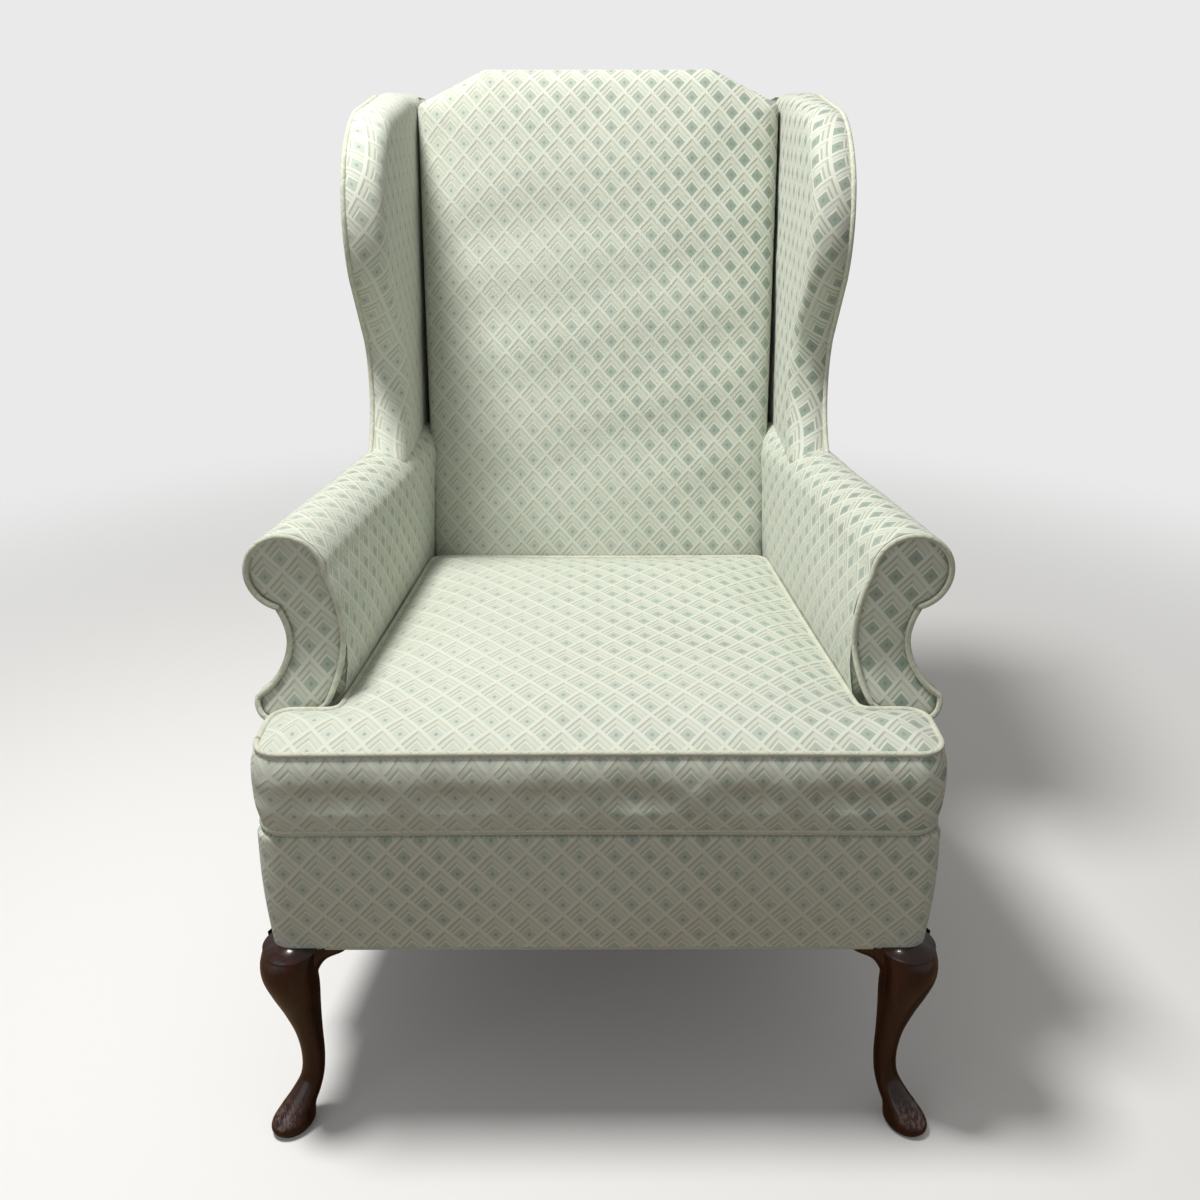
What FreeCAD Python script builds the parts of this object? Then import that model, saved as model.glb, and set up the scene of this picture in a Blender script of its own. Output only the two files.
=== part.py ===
import FreeCAD, Part
import math
import os

os.makedirs("parts", exist_ok=True)

V = FreeCAD.Vector

# Driving sizes in millimetres.
# x runs across the chair, y from the face of the front border to the back, z up from the floor.

# Seat box
seat_base = 238.0            # floor to the underside of the seat box
deck_height = 380.0          # floor to the sprung deck under the cushion
spring_space = 39.0          # from the front and rear rails up to the deck
side_rail_drop = 22.5        # from the side rails, which carry the burlap, up to the deck
box_half_width = 343.0       # half width of the seat box at its front corners
box_corner_radius = 22.0     # rounding of the covered front corners
cover_thickness = 3.0        # cover fabric with its lining
border_thickness = 6.0       # padded front border
rail_thickness = 28.0        # seat rails
rail_inset = 4.0             # underside of the rails above the underside of the seat box
burlap_thickness = 1.0       # burlap over the springs
deck_cover_thickness = 1.0   # plain cloth over the deck
dust_cover_thickness = 1.0   # black cloth under the seat
fit_gap = 0.3                # clearance between soft pieces of different bodies
deck_gap = 0.5               # clearance round the deck
beyond = 3000.0              # further than any piece reaches, for zones that cut

# Arms
arm_front = 120.0            # face of the arm front panels
panel_thickness = 6.0        # padded arm front panel
arm_inside_front = 267.0     # half width between the arms at the front
arm_inside_rear = 229.0      # half width between the arms at the inside back
arm_belly = 8.0              # how far the inside of the arm leans in at the front
scroll_centre_x = 312.0      # centre of the rolled arm at the front
waist_rise = 62.0            # from the top seam of the cushion up to the waist of the arm front
scroll_rise = 79.0           # from that waist up to the centre of the rolled arm
belly_rise = 15.0            # from that waist up to the lean of the inside of the arm
foot_drop = 61.0             # from that waist down to the foot of the arm front
turn_drop = 65.0             # from that waist down to where the inside of the arm starts to lean
scroll_radius = 41.0         # radius of the rolled arm
scroll_drop = 14.0           # the roll is this much lower at the back
scroll_radius_rear = 37.0    # radius of the roll at the back
scroll_under_angle = 72.0    # how far round the roll the outside of the arm starts
waist_x = 319.0              # outside of the arm front at its waist
foot_x = 357.0               # outside of the arm at the foot of its front
foot_hang = 15.0             # how far the foot of the panel hangs below that height
foot_scoop = 18.0            # how far the foot of the panel curls forward
stump_thickness = 28.0       # upright board behind the arm front
stump_inset = 14.0           # padding round that board
arm_pad_thickness = 22.0     # padding on the inside of the arm
arm_rail_width = 36.0        # board inside the rolled arm
arm_rail_thick = 22.0
tack_rail_width = 22.0       # slat above the deck that the inside arm is pulled round
tack_rail_height = 34.0

# Back and wings
recline = 16.4               # lean of the back from upright, in degrees
back_seat_y = 527.0          # face of the inside back where it meets the cushion
seat_line_drop = 15.0        # that height lies this far below the top seam of the cushion
back_length = 652.0          # from there up the back to its top
back_top_half = 150.0        # half width of the level top
shoulder_drop = 44.0         # length down the back of each sloping shoulder
back_half_top = 239.0        # half width of the inside back at the shoulders
back_crown = 12.0            # swell of the inside back
back_pad_depth = 60.0        # padding in front of the back frame
post_depth = 33.0            # back posts, from front to rear
wing_outside = 289.0         # outside of the wings and of the back
wing_thickness = 48.0        # across a wing
wing_round = 16.0            # rounding of the inner front edge of a wing
wing_drop = 36.0             # the wings end this far down the back from its top
wing_reach = 113.0           # how far the wings sweep forward of the inside back
wing_board = 24.0            # shaped board inside a wing
wing_board_inset = 12.0      # padding in front of that board
wing_board_width = 45.0

# Cushion
cushion_height = 93.0        # from the lower welt to the upper welt
cushion_crown = 19.0         # rise of the top above the welt
cushion_front = 1.0          # front edge at the welts
cushion_bulge = 7.0          # swell of the boxing between the welts
cushion_ear_half = 336.0     # half width across the two front ears
cushion_ear_rear = 90.0      # rear edge of the ears
cushion_cover_thickness = 2.0
cushion_clearance = 1.2      # between the cushion and the arms and back
cushion_pull = 2.5           # how far the middle of each long side draws in
cushion_radii = [24.0, 24.0, 22.0, 29.0, 18.0, 18.0, 29.0, 22.0]
welt_radius = 3.0            # piping

# Legs
knee_reach = 11.0            # how far the knee stands out along the diagonal
ankle_x = 318.0              # axis of the ankle
ankle_y = 12.0
ankle_radius = 12.5
knee_radius = 28.0
foot_reach = 32.5            # how far the foot stands out from the ankle
foot_length = 25.0           # half length of the pad foot along the diagonal
foot_width = 19.5            # half width of the pad foot
leg_sides = 20               # facets round a leg
leg_block = 56.0             # square top of a front leg
bracket_length = 56.0        # knee bracket, from the axis of the leg inward
bracket_thickness = 22.0
rear_leg_top = 34.0          # width of a rear leg at the seat box
rear_leg_foot = 28.0         # width of a rear leg at the floor
rear_leg_rake = 66.0         # how far the rear foot stands behind its top
lap_length = 90.0            # lap of a rear leg on its back post

# Suspension and fasteners
spring_count = 5
spring_wire = 4.0            # sides of the wire
spring_width = 46.0
spring_pitch = 44.0          # length of one full wave
spring_rise = 8.0            # crown of a spring
screw_radius = 2.2
screw_head_radius = 4.2
screw_length = 42.0
bolt_radius = 4.0
bolt_length = 90.0
webbing_width = 50.0
webbing_thickness = 1.2
slider_travel = 360.0        # run of the zip
slider_parking = 27.0        # chain beyond each end of that run
slider_gap = 0.3             # clearance under the zip slider

# Sizes that follow
cushion_top = deck_height + cushion_height
waist_height = cushion_top + waist_rise
arm_belly_height = waist_height + belly_rise
arm_turn_height = waist_height - turn_drop
scroll_height = waist_height + scroll_rise
foot_height = waist_height - foot_drop
back_seat_z = cushion_top - seat_line_drop
border_inside = box_half_width - border_thickness
rail_height = deck_height - seat_base - spring_space
side_rail_height = deck_height - seat_base - side_rail_drop
rail_base = seat_base + rail_inset
rail_top = rail_base + rail_height
side_rail_top = rail_base + side_rail_height
deck_pad_top = deck_height - deck_cover_thickness
frame_front = border_thickness + 2.0
block_outside = border_inside - 2.0
block_inside = block_outside - leg_block
block_rear = frame_front + leg_block
arm_body_front = arm_front + panel_thickness
post_half_outside = wing_outside - 5.0
post_width = 38.0
post_half_inside = post_half_outside - post_width
frame_front_w = -back_pad_depth - 2.0 * webbing_thickness
post_rear_w = frame_front_w - post_depth
cover_rear_w = post_rear_w - cover_thickness
lean = math.radians(recline)
wing_top = back_seat_z + (back_length - wing_drop) * math.cos(lean)
arm_end = back_seat_y + 175.0
wing_inside = wing_outside - wing_thickness
skirt_low = seat_base + 2.0 * welt_radius


# Drawing helpers

def plan(height):
    """Points of a plan at one height."""
    def place(x, y):
        return V(x, y, height)
    return place


def elevation(depth):
    """Points of a front view at one depth."""
    def place(x, z):
        return V(x, depth, z)
    return place


def side_view(across):
    """Points of a side view at one distance from the middle."""
    def place(y, z):
        return V(across, y, z)
    return place


def back_point(across, up, out):
    """A point given along the reclined back: across it, up it and out from it."""
    y = back_seat_y + up * math.sin(lean) - out * math.cos(lean)
    z = back_seat_z + up * math.cos(lean) + out * math.sin(lean)
    return V(across, y, z)


def back_plane(out):
    """Points of a plane along the back."""
    def place(across, up):
        return back_point(across, up, out)
    return place


def back_up(height, out):
    """Distance up the back where a plane along it reaches a height."""
    return (height - back_seat_z - out * math.sin(lean)) / math.cos(lean)


def back_y(height, out):
    """Depth of a plane along the back at a height."""
    return back_point(0.0, back_up(height, out), out).y


def between(first, last, share):
    return first + (last - first) * share


def chords(start, through, end, sides):
    """Points that divide the arc through three points into equal sides."""
    ax, ay = through[0] - start[0], through[1] - start[1]
    bx, by = end[0] - start[0], end[1] - start[1]
    cross = 2.0 * (ax * by - ay * bx)
    if abs(cross) < 1e-6:
        return [(start[0] + bx * i / sides, start[1] + by * i / sides) for i in range(1, sides + 1)]
    near = ax * ax + ay * ay
    far = bx * bx + by * by
    cx = start[0] + (near * by - far * ay) / cross
    cy = start[1] + (far * ax - near * bx) / cross
    radius = math.hypot(start[0] - cx, start[1] - cy)
    first = math.atan2(start[1] - cy, start[0] - cx)
    last = math.atan2(end[1] - cy, end[0] - cx)
    full = 2.0 * math.pi
    sweep = (last - first) % full if cross > 0 else -((first - last) % full)
    points = []
    for i in range(1, sides + 1):
        turn = first + sweep * i / sides
        points.append((cx + radius * math.cos(turn), cy + radius * math.sin(turn)))
    return points


def run(start, steps, place, sides=0):
    """Edges from a start: a step of one point is straight, one of two points is an arc,
    or that many chords of it where the outline is one of a loft."""
    edges = []
    here = start
    for step in steps:
        end = step[-1]
        if len(step) == 1:
            stops = [end]
        elif sides:
            stops = chords(here, step[0], end, sides)
        else:
            edges.append(Part.Arc(place(*here), place(*step[0]), place(*end)).toShape())
            stops = []
        for stop in stops:
            edges.append(Part.LineSegment(place(*here), place(*stop)).toShape())
            here = stop
        here = end
    return edges


def outline(start, steps, place, sides=0):
    """A closed wire of such edges."""
    return Part.Wire(run(start, steps + [(start,)], place, sides))


def polygon(corners, place):
    points = [place(*corner) for corner in corners]
    return Part.makePolygon(points + [points[0]])


def rounded(corners, radii, place, sides=0, pulls=None):
    """A closed wire with rounded corners; a pull draws the middle of a side inward."""
    count = len(corners)
    flat = [V(x, y, 0) for x, y in corners]
    middle = V(0, 0, 0)
    for point in flat:
        middle = middle + point * (1.0 / count)
    bends = []
    for i in range(count):
        corner = flat[i]
        before = (flat[i - 1] - corner).normalize()
        after = (flat[(i + 1) % count] - corner).normalize()
        half = before.getAngle(after) / 2.0
        reach = radii[i] / math.tan(half)
        near = radii[i] / math.sin(half) - radii[i]
        through = corner + (before + after).normalize() * near
        bends.append((corner + before * reach, through, corner + after * reach))
    steps = []
    for i in range(count):
        through, end = bends[i][1:]
        steps.append((tuple(through[:2]), tuple(end[:2])))
        onward = bends[(i + 1) % count][0]
        if pulls and pulls[i]:
            centre = (end + onward) * 0.5
            side = (onward - end).normalize()
            inward = V(-side.y, side.x, 0)
            if inward.dot(middle - centre) < 0:
                inward = inward * -1.0
            steps.append((tuple((centre + inward * pulls[i])[:2]),))
        steps.append((tuple(onward[:2]),))
    return Part.Wire(run(tuple(bends[0][0][:2]), steps, place, sides))


def extrude(wire, vector):
    return Part.Face(wire).extrude(vector)


def board(corners, place, vector):
    """A flat board cut to a polygon."""
    return extrude(polygon(corners, place), vector)


def corner_points(wire):
    return [vertex.Point for vertex in wire.OrderedVertexes]


def facets(a, b, c, d):
    """A flat face on four points, or two triangles where the points are not in one plane."""
    square_to = (b - a).cross(c - a).normalize()
    if abs(square_to.dot(d - a)) < 1e-7:
        return [Part.Face(Part.makePolygon([a, b, c, d, a]))]
    return [Part.Face(Part.makePolygon([a, b, d, a])), Part.Face(Part.makePolygon([b, c, d, b]))]


def loft(wires):
    """A solid with flat facets through rings that have the same number of corners."""
    rings = [corner_points(wire) for wire in wires]
    faces = [Part.Face(wires[0]), Part.Face(wires[-1])]
    for lower, upper in zip(rings, rings[1:]):
        for i in range(len(lower)):
            faces.extend(facets(lower[i - 1], lower[i], upper[i], upper[i - 1]))
    shell = Part.makeShell(faces)
    shell.sewShape()
    solid = Part.makeSolid(shell)
    if solid.Volume < 0.0:
        solid.reverse()
    return solid


def block(x0, x1, y0, y1, z0, z1):
    return Part.makeBox(x1 - x0, y1 - y0, z1 - z0, V(x0, y0, z0))


def back_block(across0, across1, up0, up1, out0, out1):
    """A box lying along the reclined back."""
    corners = [(across0, up0), (across1, up0), (across1, up1), (across0, up1)]
    return board(corners, back_plane(out0), back_point(0, 0, out1) - back_point(0, 0, out0))


def mirrored(shape):
    return shape.mirror(V(0, 0, 0), V(1, 0, 0))


def ring(centre, ahead, radius, sides):
    """A regular polygon square to a direction."""
    ahead = V(ahead).normalize()
    across = ahead.cross(V(0, 0, 1))
    if across.Length < 0.1:
        across = ahead.cross(V(0, 1, 0))
    across.normalize()
    upward = ahead.cross(across)
    points = []
    for i in range(sides):
        turn = 2.0 * math.pi * (i + 0.5) / sides
        points.append(centre + across * (radius * math.cos(turn)) + upward * (radius * math.sin(turn)))
    return Part.makePolygon(points + [points[0]])


def cord(points, closed=False):
    """Piping with six sides along straight runs."""
    if closed:
        middle = (points[0] + points[1]) * 0.5
        points = [middle] + points[1:] + [points[0], middle]
    profile = ring(points[0], points[1] - points[0], welt_radius, 6)
    return Part.makePolygon(points).makePipeShell([profile], True, False, 1)


def face_cord(points, facing):
    """Closed piping along an uneven path, with its sides turned to face one way."""
    count = len(points)
    rings = []
    for i in range(count):
        before = (points[i] - points[i - 1]).normalize()
        after = (points[(i + 1) % count] - points[i]).normalize()
        ahead = (before + after).normalize()
        flat = (facing - ahead * facing.dot(ahead)).normalize()
        across = ahead.cross(flat) * (1.0 / max(0.75, ahead.dot(after)))
        corners = []
        for k in range(6):
            turn = math.pi * (k + 0.5) / 3.0
            offset = flat * math.cos(turn) + across * math.sin(turn)
            corners.append(points[i] + offset * welt_radius)
        rings.append(corners)
    faces = []
    for i in range(count):
        lower, upper = rings[i - 1], rings[i]
        for k in range(6):
            faces.extend(facets(lower[k - 1], lower[k], upper[k], upper[k - 1]))
    shell = Part.makeShell(faces)
    shell.sewShape()
    solid = Part.makeSolid(shell)
    if solid.Volume < 0.0:
        solid.reverse()
    return solid


def rod(start, ahead, radius, length):
    """A plain rod with six sides."""
    ahead = V(ahead).normalize()
    return extrude(ring(start, ahead, radius, 6), ahead * length)


nodes = {}


def keep(name, *solids):
    """Keep one named piece, or several alike under one name."""
    parts = []
    for solid in solids:
        parts.extend(solid.Solids)
    nodes[name] = parts[0] if len(parts) == 1 else Part.makeCompound(parts)


def keep_pair(name, right):
    """Keep a right-hand piece and its mirror image on the left."""
    keep(name + "_right", right)
    keep(name + "_left", mirrored(right))


# Cabriole front legs

def leg_section(height, reach, length, width):
    """An oval across the leg, long along the diagonal of the seat."""
    out = V(1, -1, 0).normalize()
    side = V(1, 1, 0).normalize()
    centre = V(ankle_x, ankle_y, height) + out * reach
    points = []
    for i in range(leg_sides):
        turn = 2.0 * math.pi * i / leg_sides
        points.append(centre + out * (length * math.cos(turn)) + side * (width * math.sin(turn)))
    return Part.makePolygon(points + [points[0]])


def front_leg():
    """Pad foot, thin ankle, full knee and a square block in the corner of the seat box."""
    sections = [
        (0.0, foot_reach, foot_length * 0.8, foot_width * 0.8),
        (0.03, foot_reach, foot_length, foot_width),
        (0.063, foot_reach * 0.95, foot_length, foot_width),
        (0.11, foot_reach * 0.75, foot_length * 0.84, foot_width * 0.87),
        (0.17, foot_reach * 0.38, ankle_radius * 1.36, ankle_radius * 1.16),
        (0.245, foot_reach * 0.06, ankle_radius * 1.04, ankle_radius),
        (0.355, -knee_reach * 0.18, ankle_radius, ankle_radius),
        (0.5, -knee_reach * 0.09, ankle_radius * 1.16, ankle_radius * 1.12),
        (0.64, knee_reach * 0.27, knee_radius * 0.7, knee_radius * 0.68),
        (0.765, knee_reach * 0.68, knee_radius * 0.91, knee_radius * 0.89),
        (0.866, knee_reach, knee_radius * 1.035, knee_radius * 0.98),
        (0.94, knee_reach * 0.86, knee_radius * 1.09, knee_radius * 1.035),
        (1.0, knee_reach * 0.45, knee_radius * 1.055, knee_radius * 1.055),
    ]
    curve = loft([
        leg_section(seat_base * share, reach, length, width) for share, reach, length, width in sections
    ])
    corners = [
        (block_inside, frame_front), (block_outside, frame_front),
        (block_outside, block_rear), (block_inside, block_rear),
    ]
    radii = [1.0, box_corner_radius - border_thickness, 1.0, 1.0]
    square = rounded(corners, radii, plan(seat_base), sides=3)
    return curve.fuse(extrude(square, V(0, 0, rail_top - seat_base))).removeSplitter()


leg = front_leg()


def knee_bracket(place, vector):
    """The shaped return that carries the line of the knee along the rail."""
    inner = ankle_x - bracket_length

    def corner(across, down):
        return inner + bracket_length * across, seat_base - bracket_length * down

    start = (inner, seat_base)
    steps = [
        (corner(0.02, 0.12), corner(0.11, 0.18)),
        (corner(0.46, 0.34), corner(0.64, 0.64)),
        (corner(0.68, 0.82), corner(0.68, 1.0)),
        (corner(1.07, 1.0),),
        (corner(1.07, 0.0),),
    ]
    return extrude(outline(start, steps, place, sides=4), vector)


bracket_front = knee_bracket(elevation(frame_front - rail_inset), V(0, bracket_thickness, 0)).cut(leg)


def side_bracket_place(along, z):
    """The same return turned round the corner, on the side of the seat box."""
    return V(block_outside + 3.0, ankle_x + ankle_y - along, z)


bracket_side = knee_bracket(side_bracket_place, V(-bracket_thickness, 0, 0)).cut(leg)
bracket_side = bracket_side.cut(bracket_front)


def biggest(shape):
    """The largest solid of a shape, without slivers that a cut left."""
    return max(shape.Solids, key=lambda solid: solid.Volume)


bracket_front = biggest(bracket_front)
bracket_side = biggest(bracket_side)

# Seat frame
side_slope_start = (block_outside, block_rear)
side_slope_end = (post_half_outside - 2.0, back_y(rail_base, frame_front_w))


def side_rail_x(y):
    """Outer face of a side rail at a depth."""
    share = (y - side_slope_start[1]) / (side_slope_end[1] - side_slope_start[1])
    return between(side_slope_start[0], side_slope_end[0], share)




def behind(out):
    """Everything behind a plane along the back."""
    return back_block(-beyond, beyond, -beyond, beyond, out, -beyond)


behind_frame_front = behind(frame_front_w)
behind_padding = behind(-back_pad_depth)
behind_cover = behind(cover_rear_w)

far_y = back_y(side_rail_top, frame_front_w) + 20.0
side_rail = board(
    [
        (side_rail_x(block_rear), block_rear),
        (side_rail_x(far_y), far_y),
        (side_rail_x(far_y) - rail_thickness, far_y),
        (side_rail_x(block_rear) - rail_thickness, block_rear),
    ],
    plan(rail_base),
    V(0, 0, side_rail_height),
).cut(behind_frame_front)

front_rail = block(
    -block_inside, block_inside, frame_front, frame_front + rail_thickness, rail_base, rail_top
)

rear_rail_front = back_y(rail_base, frame_front_w) + 6.0
rear_rail = block(
    -post_half_inside,
    post_half_inside,
    rear_rail_front,
    rear_rail_front + rail_thickness - 2.0,
    rail_base,
    rail_top,
)


def back_post():
    """Upright of the back, halved at its foot for the rear leg."""
    top = back_up(wing_top - cover_thickness - 12.0, post_rear_w)
    post = back_block(
        post_half_inside, post_half_outside, -beyond, top, frame_front_w, post_rear_w
    )
    return post.cut(block(0.0, beyond, -beyond, beyond, -beyond, seat_base))


post = back_post()
post_middle_w = (frame_front_w + post_rear_w) / 2.0
lap_zone = back_block(
    post_half_inside - 1.0,
    post_half_outside + 1.0,
    -beyond,
    back_up(seat_base + lap_length, post_middle_w),
    post_middle_w,
    post_rear_w - 1.0,
)
lap_tongue = post.common(lap_zone)
post = post.cut(lap_tongue)


def rear_leg():
    """Square raked leg with a tongue lapped behind its back post."""
    centre = (post_half_inside + post_half_outside) / 2.0
    top_front = back_y(seat_base, frame_front_w)
    top_rear = back_y(seat_base, post_rear_w)
    half_top = rear_leg_top / 2.0
    half_foot = rear_leg_foot / 2.0
    foot_front = top_front + rear_leg_rake
    top = [
        (centre - half_top, top_front),
        (centre + half_top, top_front),
        (centre + half_top, top_rear),
        (centre - half_top, top_rear),
    ]
    foot = [
        (centre - half_foot, foot_front),
        (centre + half_foot, foot_front),
        (centre + half_foot, foot_front + rear_leg_foot),
        (centre - half_foot, foot_front + rear_leg_foot),
    ]
    radii = [3.0] * 4
    stem = loft([
        rounded(foot, radii, plan(0.0), sides=1),
        rounded(top, radii, plan(seat_base), sides=1),
    ])
    return stem.fuse(lap_tongue).removeSplitter()


crest_rail = board(
    [
        (-post_half_inside, back_length - 110.0),
        (post_half_inside, back_length - 110.0),
        (post_half_inside, back_length - shoulder_drop - 12.0),
        (back_top_half - 4.0, back_length - 12.0),
        (-back_top_half + 4.0, back_length - 12.0),
        (-post_half_inside, back_length - shoulder_drop - 12.0),
    ],
    back_plane(frame_front_w),
    back_point(0, 0, post_rear_w + 6.0) - back_point(0, 0, frame_front_w),
)
tack_low = back_up(deck_height + 12.0, frame_front_w)
back_rail = back_block(
    -post_half_inside, post_half_inside, tack_low, tack_low + 50.0, frame_front_w, post_rear_w + 6.0
)

# Inside back


def back_outline(inset, out, radius):
    """Front view of the back: narrower at the seat, level top with sloping shoulders."""
    low = back_up(deck_height, 0.0) + inset * 0.2
    half_seat = arm_inside_rear - 1.0 - inset
    half_top = back_half_top - inset
    corners = [
        (-half_seat, low),
        (half_seat, low),
        (half_top, back_length - shoulder_drop - inset),
        (back_top_half - inset * 0.5, back_length - inset),
        (-back_top_half + inset * 0.5, back_length - inset),
        (-half_top, back_length - shoulder_drop - inset),
    ]
    radii = [4.0, 4.0, radius, radius * 2.0, radius * 2.0, radius]
    return rounded(corners, radii, back_plane(out), sides=3)


def back_pillow(inset, rear_out):
    """The back with its edges rounded over and its face crowned."""
    stages = [
        (0.0, rear_out, 8.0),
        (0.0, -22.0, 8.0),
        (3.0, -10.0, 9.0),
        (10.0, -3.0, 12.0),
        (24.0, back_crown * 0.25, 16.0),
        (70.0, back_crown * 0.75, 24.0),
        (130.0, back_crown, 30.0),
    ]
    wires = []
    for setback, out, radius in stages:
        depth = out if out == rear_out else out - inset
        wires.append(back_outline(setback + inset, depth, radius))
    return loft(wires)


back_outer = back_pillow(0.0, cover_rear_w)
back_inner = back_pillow(cover_thickness, cover_rear_w)
back_clear = back_pillow(-fit_gap, cover_rear_w - fit_gap)
under_crest = back_block(
    -beyond, beyond, -beyond, back_length - shoulder_drop, -back_pad_depth, -beyond
)
inside_back = biggest(back_outer.cut(back_inner).cut(under_crest))
over_crest = back_block(
    -beyond, beyond, back_length - shoulder_drop - 12.0, beyond, -back_pad_depth, cover_rear_w
)
back_pad = biggest(back_inner.cut(behind_padding.cut(over_crest)).cut(crest_rail))


# Arms


arm_flush_y = back_y(foot_height, cover_rear_w)


def arm_section(station, inset, low):
    """Section across the right arm: inside face, rolled top, waist and outside."""
    share = (station - arm_body_front) / (arm_flush_y - arm_body_front)
    inside_share = (station - arm_body_front) / (back_seat_y - arm_body_front)
    inside = between(arm_inside_front, arm_inside_rear, inside_share) + inset
    belly = inside - arm_belly * (1.0 - share)
    rear_radius = scroll_radius_rear
    radius = between(scroll_radius, rear_radius, share) - inset
    centre_x = between(scroll_centre_x, wing_outside - rear_radius, share)
    centre_z = scroll_height - scroll_drop * share
    under = math.radians(scroll_under_angle)
    notch = V(scroll_centre_x + (scroll_radius - inset) * math.cos(under), 0,
              scroll_height - (scroll_radius - inset) * math.sin(under))
    notch_x = between(notch.x, wing_outside - inset, share)
    notch_z = between(notch.z, notch.z + 4.0, share)
    waist = between(waist_x, wing_outside - 1.0, share) - inset
    foot = between(foot_x, wing_outside, share) - inset
    round_x = between(scroll_centre_x + (scroll_radius - inset) * math.cos(under / 2.0),
                      wing_outside - inset + 0.5, share)
    round_z = between(scroll_height - (scroll_radius - inset) * math.sin(under / 2.0),
                      scroll_height - 26.0, share)
    diagonal = radius * math.sqrt(0.5)
    start = (inside, low)
    steps = [
        ((inside, arm_turn_height),),
        ((belly, arm_belly_height), (centre_x - radius, centre_z)),
        ((centre_x - diagonal, centre_z + diagonal), (centre_x, centre_z + radius)),
        ((centre_x + diagonal, centre_z + diagonal), (centre_x + radius, centre_z)),
        ((round_x, round_z), (notch_x, notch_z)),
        ((waist, waist_height), (foot, foot_height)),
        ((foot, low),),
    ]
    return outline(start, steps, elevation(station), sides=5)


def arm_body(inset, low):
    return loft([arm_section(arm_body_front, inset, low), arm_section(arm_end, inset, low)])


def arm_inside_x(station):
    share = (station - arm_body_front) / (back_seat_y - arm_body_front)
    return between(arm_inside_front, arm_inside_rear, share)


def tapered(front_corners, rear_corners):
    """A solid between a polygon at the arm front and one at its rear."""
    return loft([
        polygon(front_corners, elevation(arm_body_front)),
        polygon(rear_corners, elevation(arm_end)),
    ])


def arm_strip(near, far, low, high):
    """A strip along the inside of the arm, at distances from its face."""
    front = arm_inside_x(arm_body_front)
    rear = arm_inside_x(arm_end)
    return tapered(
        [(front + near, low), (front + far, low), (front + far, high), (front + near, high)],
        [(rear + near, low), (rear + far, low), (rear + far, high), (rear + near, high)],
    )


arm_outer = arm_body(0.0, skirt_low)
arm_inner = arm_body(cover_thickness, seat_base - 10.0)
under_roll = scroll_height - scroll_radius * math.sin(math.radians(scroll_under_angle))
zone_front = scroll_centre_x - 12.0
zone_rear = wing_outside - 31.0
outside_zone = tapered(
    [(zone_front, -beyond), (beyond, -beyond), (beyond, under_roll), (zone_front, under_roll)],
    [(zone_rear, -beyond), (beyond, -beyond), (beyond, under_roll + 4.0), (zone_rear, under_roll + 4.0)],
)
above_rail = block(0.0, beyond, -beyond, beyond, side_rail_top, beyond)

arm_shell = arm_outer.cut(arm_inner).cut(behind_cover)
outside_arm = biggest(arm_shell.common(outside_zone).cut(post))
inside_arm = arm_shell.cut(outside_zone).common(above_rail).cut(behind_padding)
inside_arm = biggest(inside_arm.cut(back_clear))

stump_slab = block(0.0, beyond, arm_body_front, arm_body_front + stump_thickness, rail_base, beyond)
stump = arm_body(stump_inset, rail_base).common(stump_slab).cut(side_rail)
stump_rear = arm_body_front + stump_thickness

arm_rail_half = arm_rail_width / 2.0
arm_rail_low = scroll_height - arm_rail_thick
arm_rail_rear_x = between(
    scroll_centre_x,
    wing_outside - scroll_radius_rear,
    (arm_end - arm_body_front) / (arm_flush_y - arm_body_front),
)
arm_rail = tapered(
    [
        (scroll_centre_x - arm_rail_half, arm_rail_low),
        (scroll_centre_x + arm_rail_half, arm_rail_low),
        (scroll_centre_x + arm_rail_half, scroll_height),
        (scroll_centre_x - arm_rail_half, scroll_height),
    ],
    [
        (arm_rail_rear_x - arm_rail_half, arm_rail_low - scroll_drop),
        (arm_rail_rear_x + arm_rail_half, arm_rail_low - scroll_drop),
        (arm_rail_rear_x + arm_rail_half, scroll_height - scroll_drop),
        (arm_rail_rear_x - arm_rail_half, scroll_height - scroll_drop),
    ],
)
behind_stump = block(0.0, beyond, stump_rear, beyond, -beyond, beyond)
arm_rail = arm_rail.common(behind_stump).cut(behind_frame_front)

pad_far = arm_pad_thickness + cover_thickness
arm_tack_rail = arm_strip(pad_far, pad_far + tack_rail_width, deck_height, deck_height + tack_rail_height)
arm_tack_rail = arm_tack_rail.common(behind_stump).cut(behind_frame_front)

pad_zone = arm_strip(-arm_pad_thickness, pad_far, side_rail_top, beyond)
roll_zone = block(0.0, beyond, -beyond, beyond, under_roll, beyond)
arm_pad = arm_inner.common(pad_zone.fuse(roll_zone))
arm_pad = arm_pad.cut(stump).cut(arm_rail).cut(arm_tack_rail).cut(behind_padding)
arm_pad = biggest(arm_pad.cut(back_clear))


def foot_across(share):
    """A place across the foot of the arm front, from its inside to its outside."""
    return between(arm_inside_front, foot_x, share)


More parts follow.
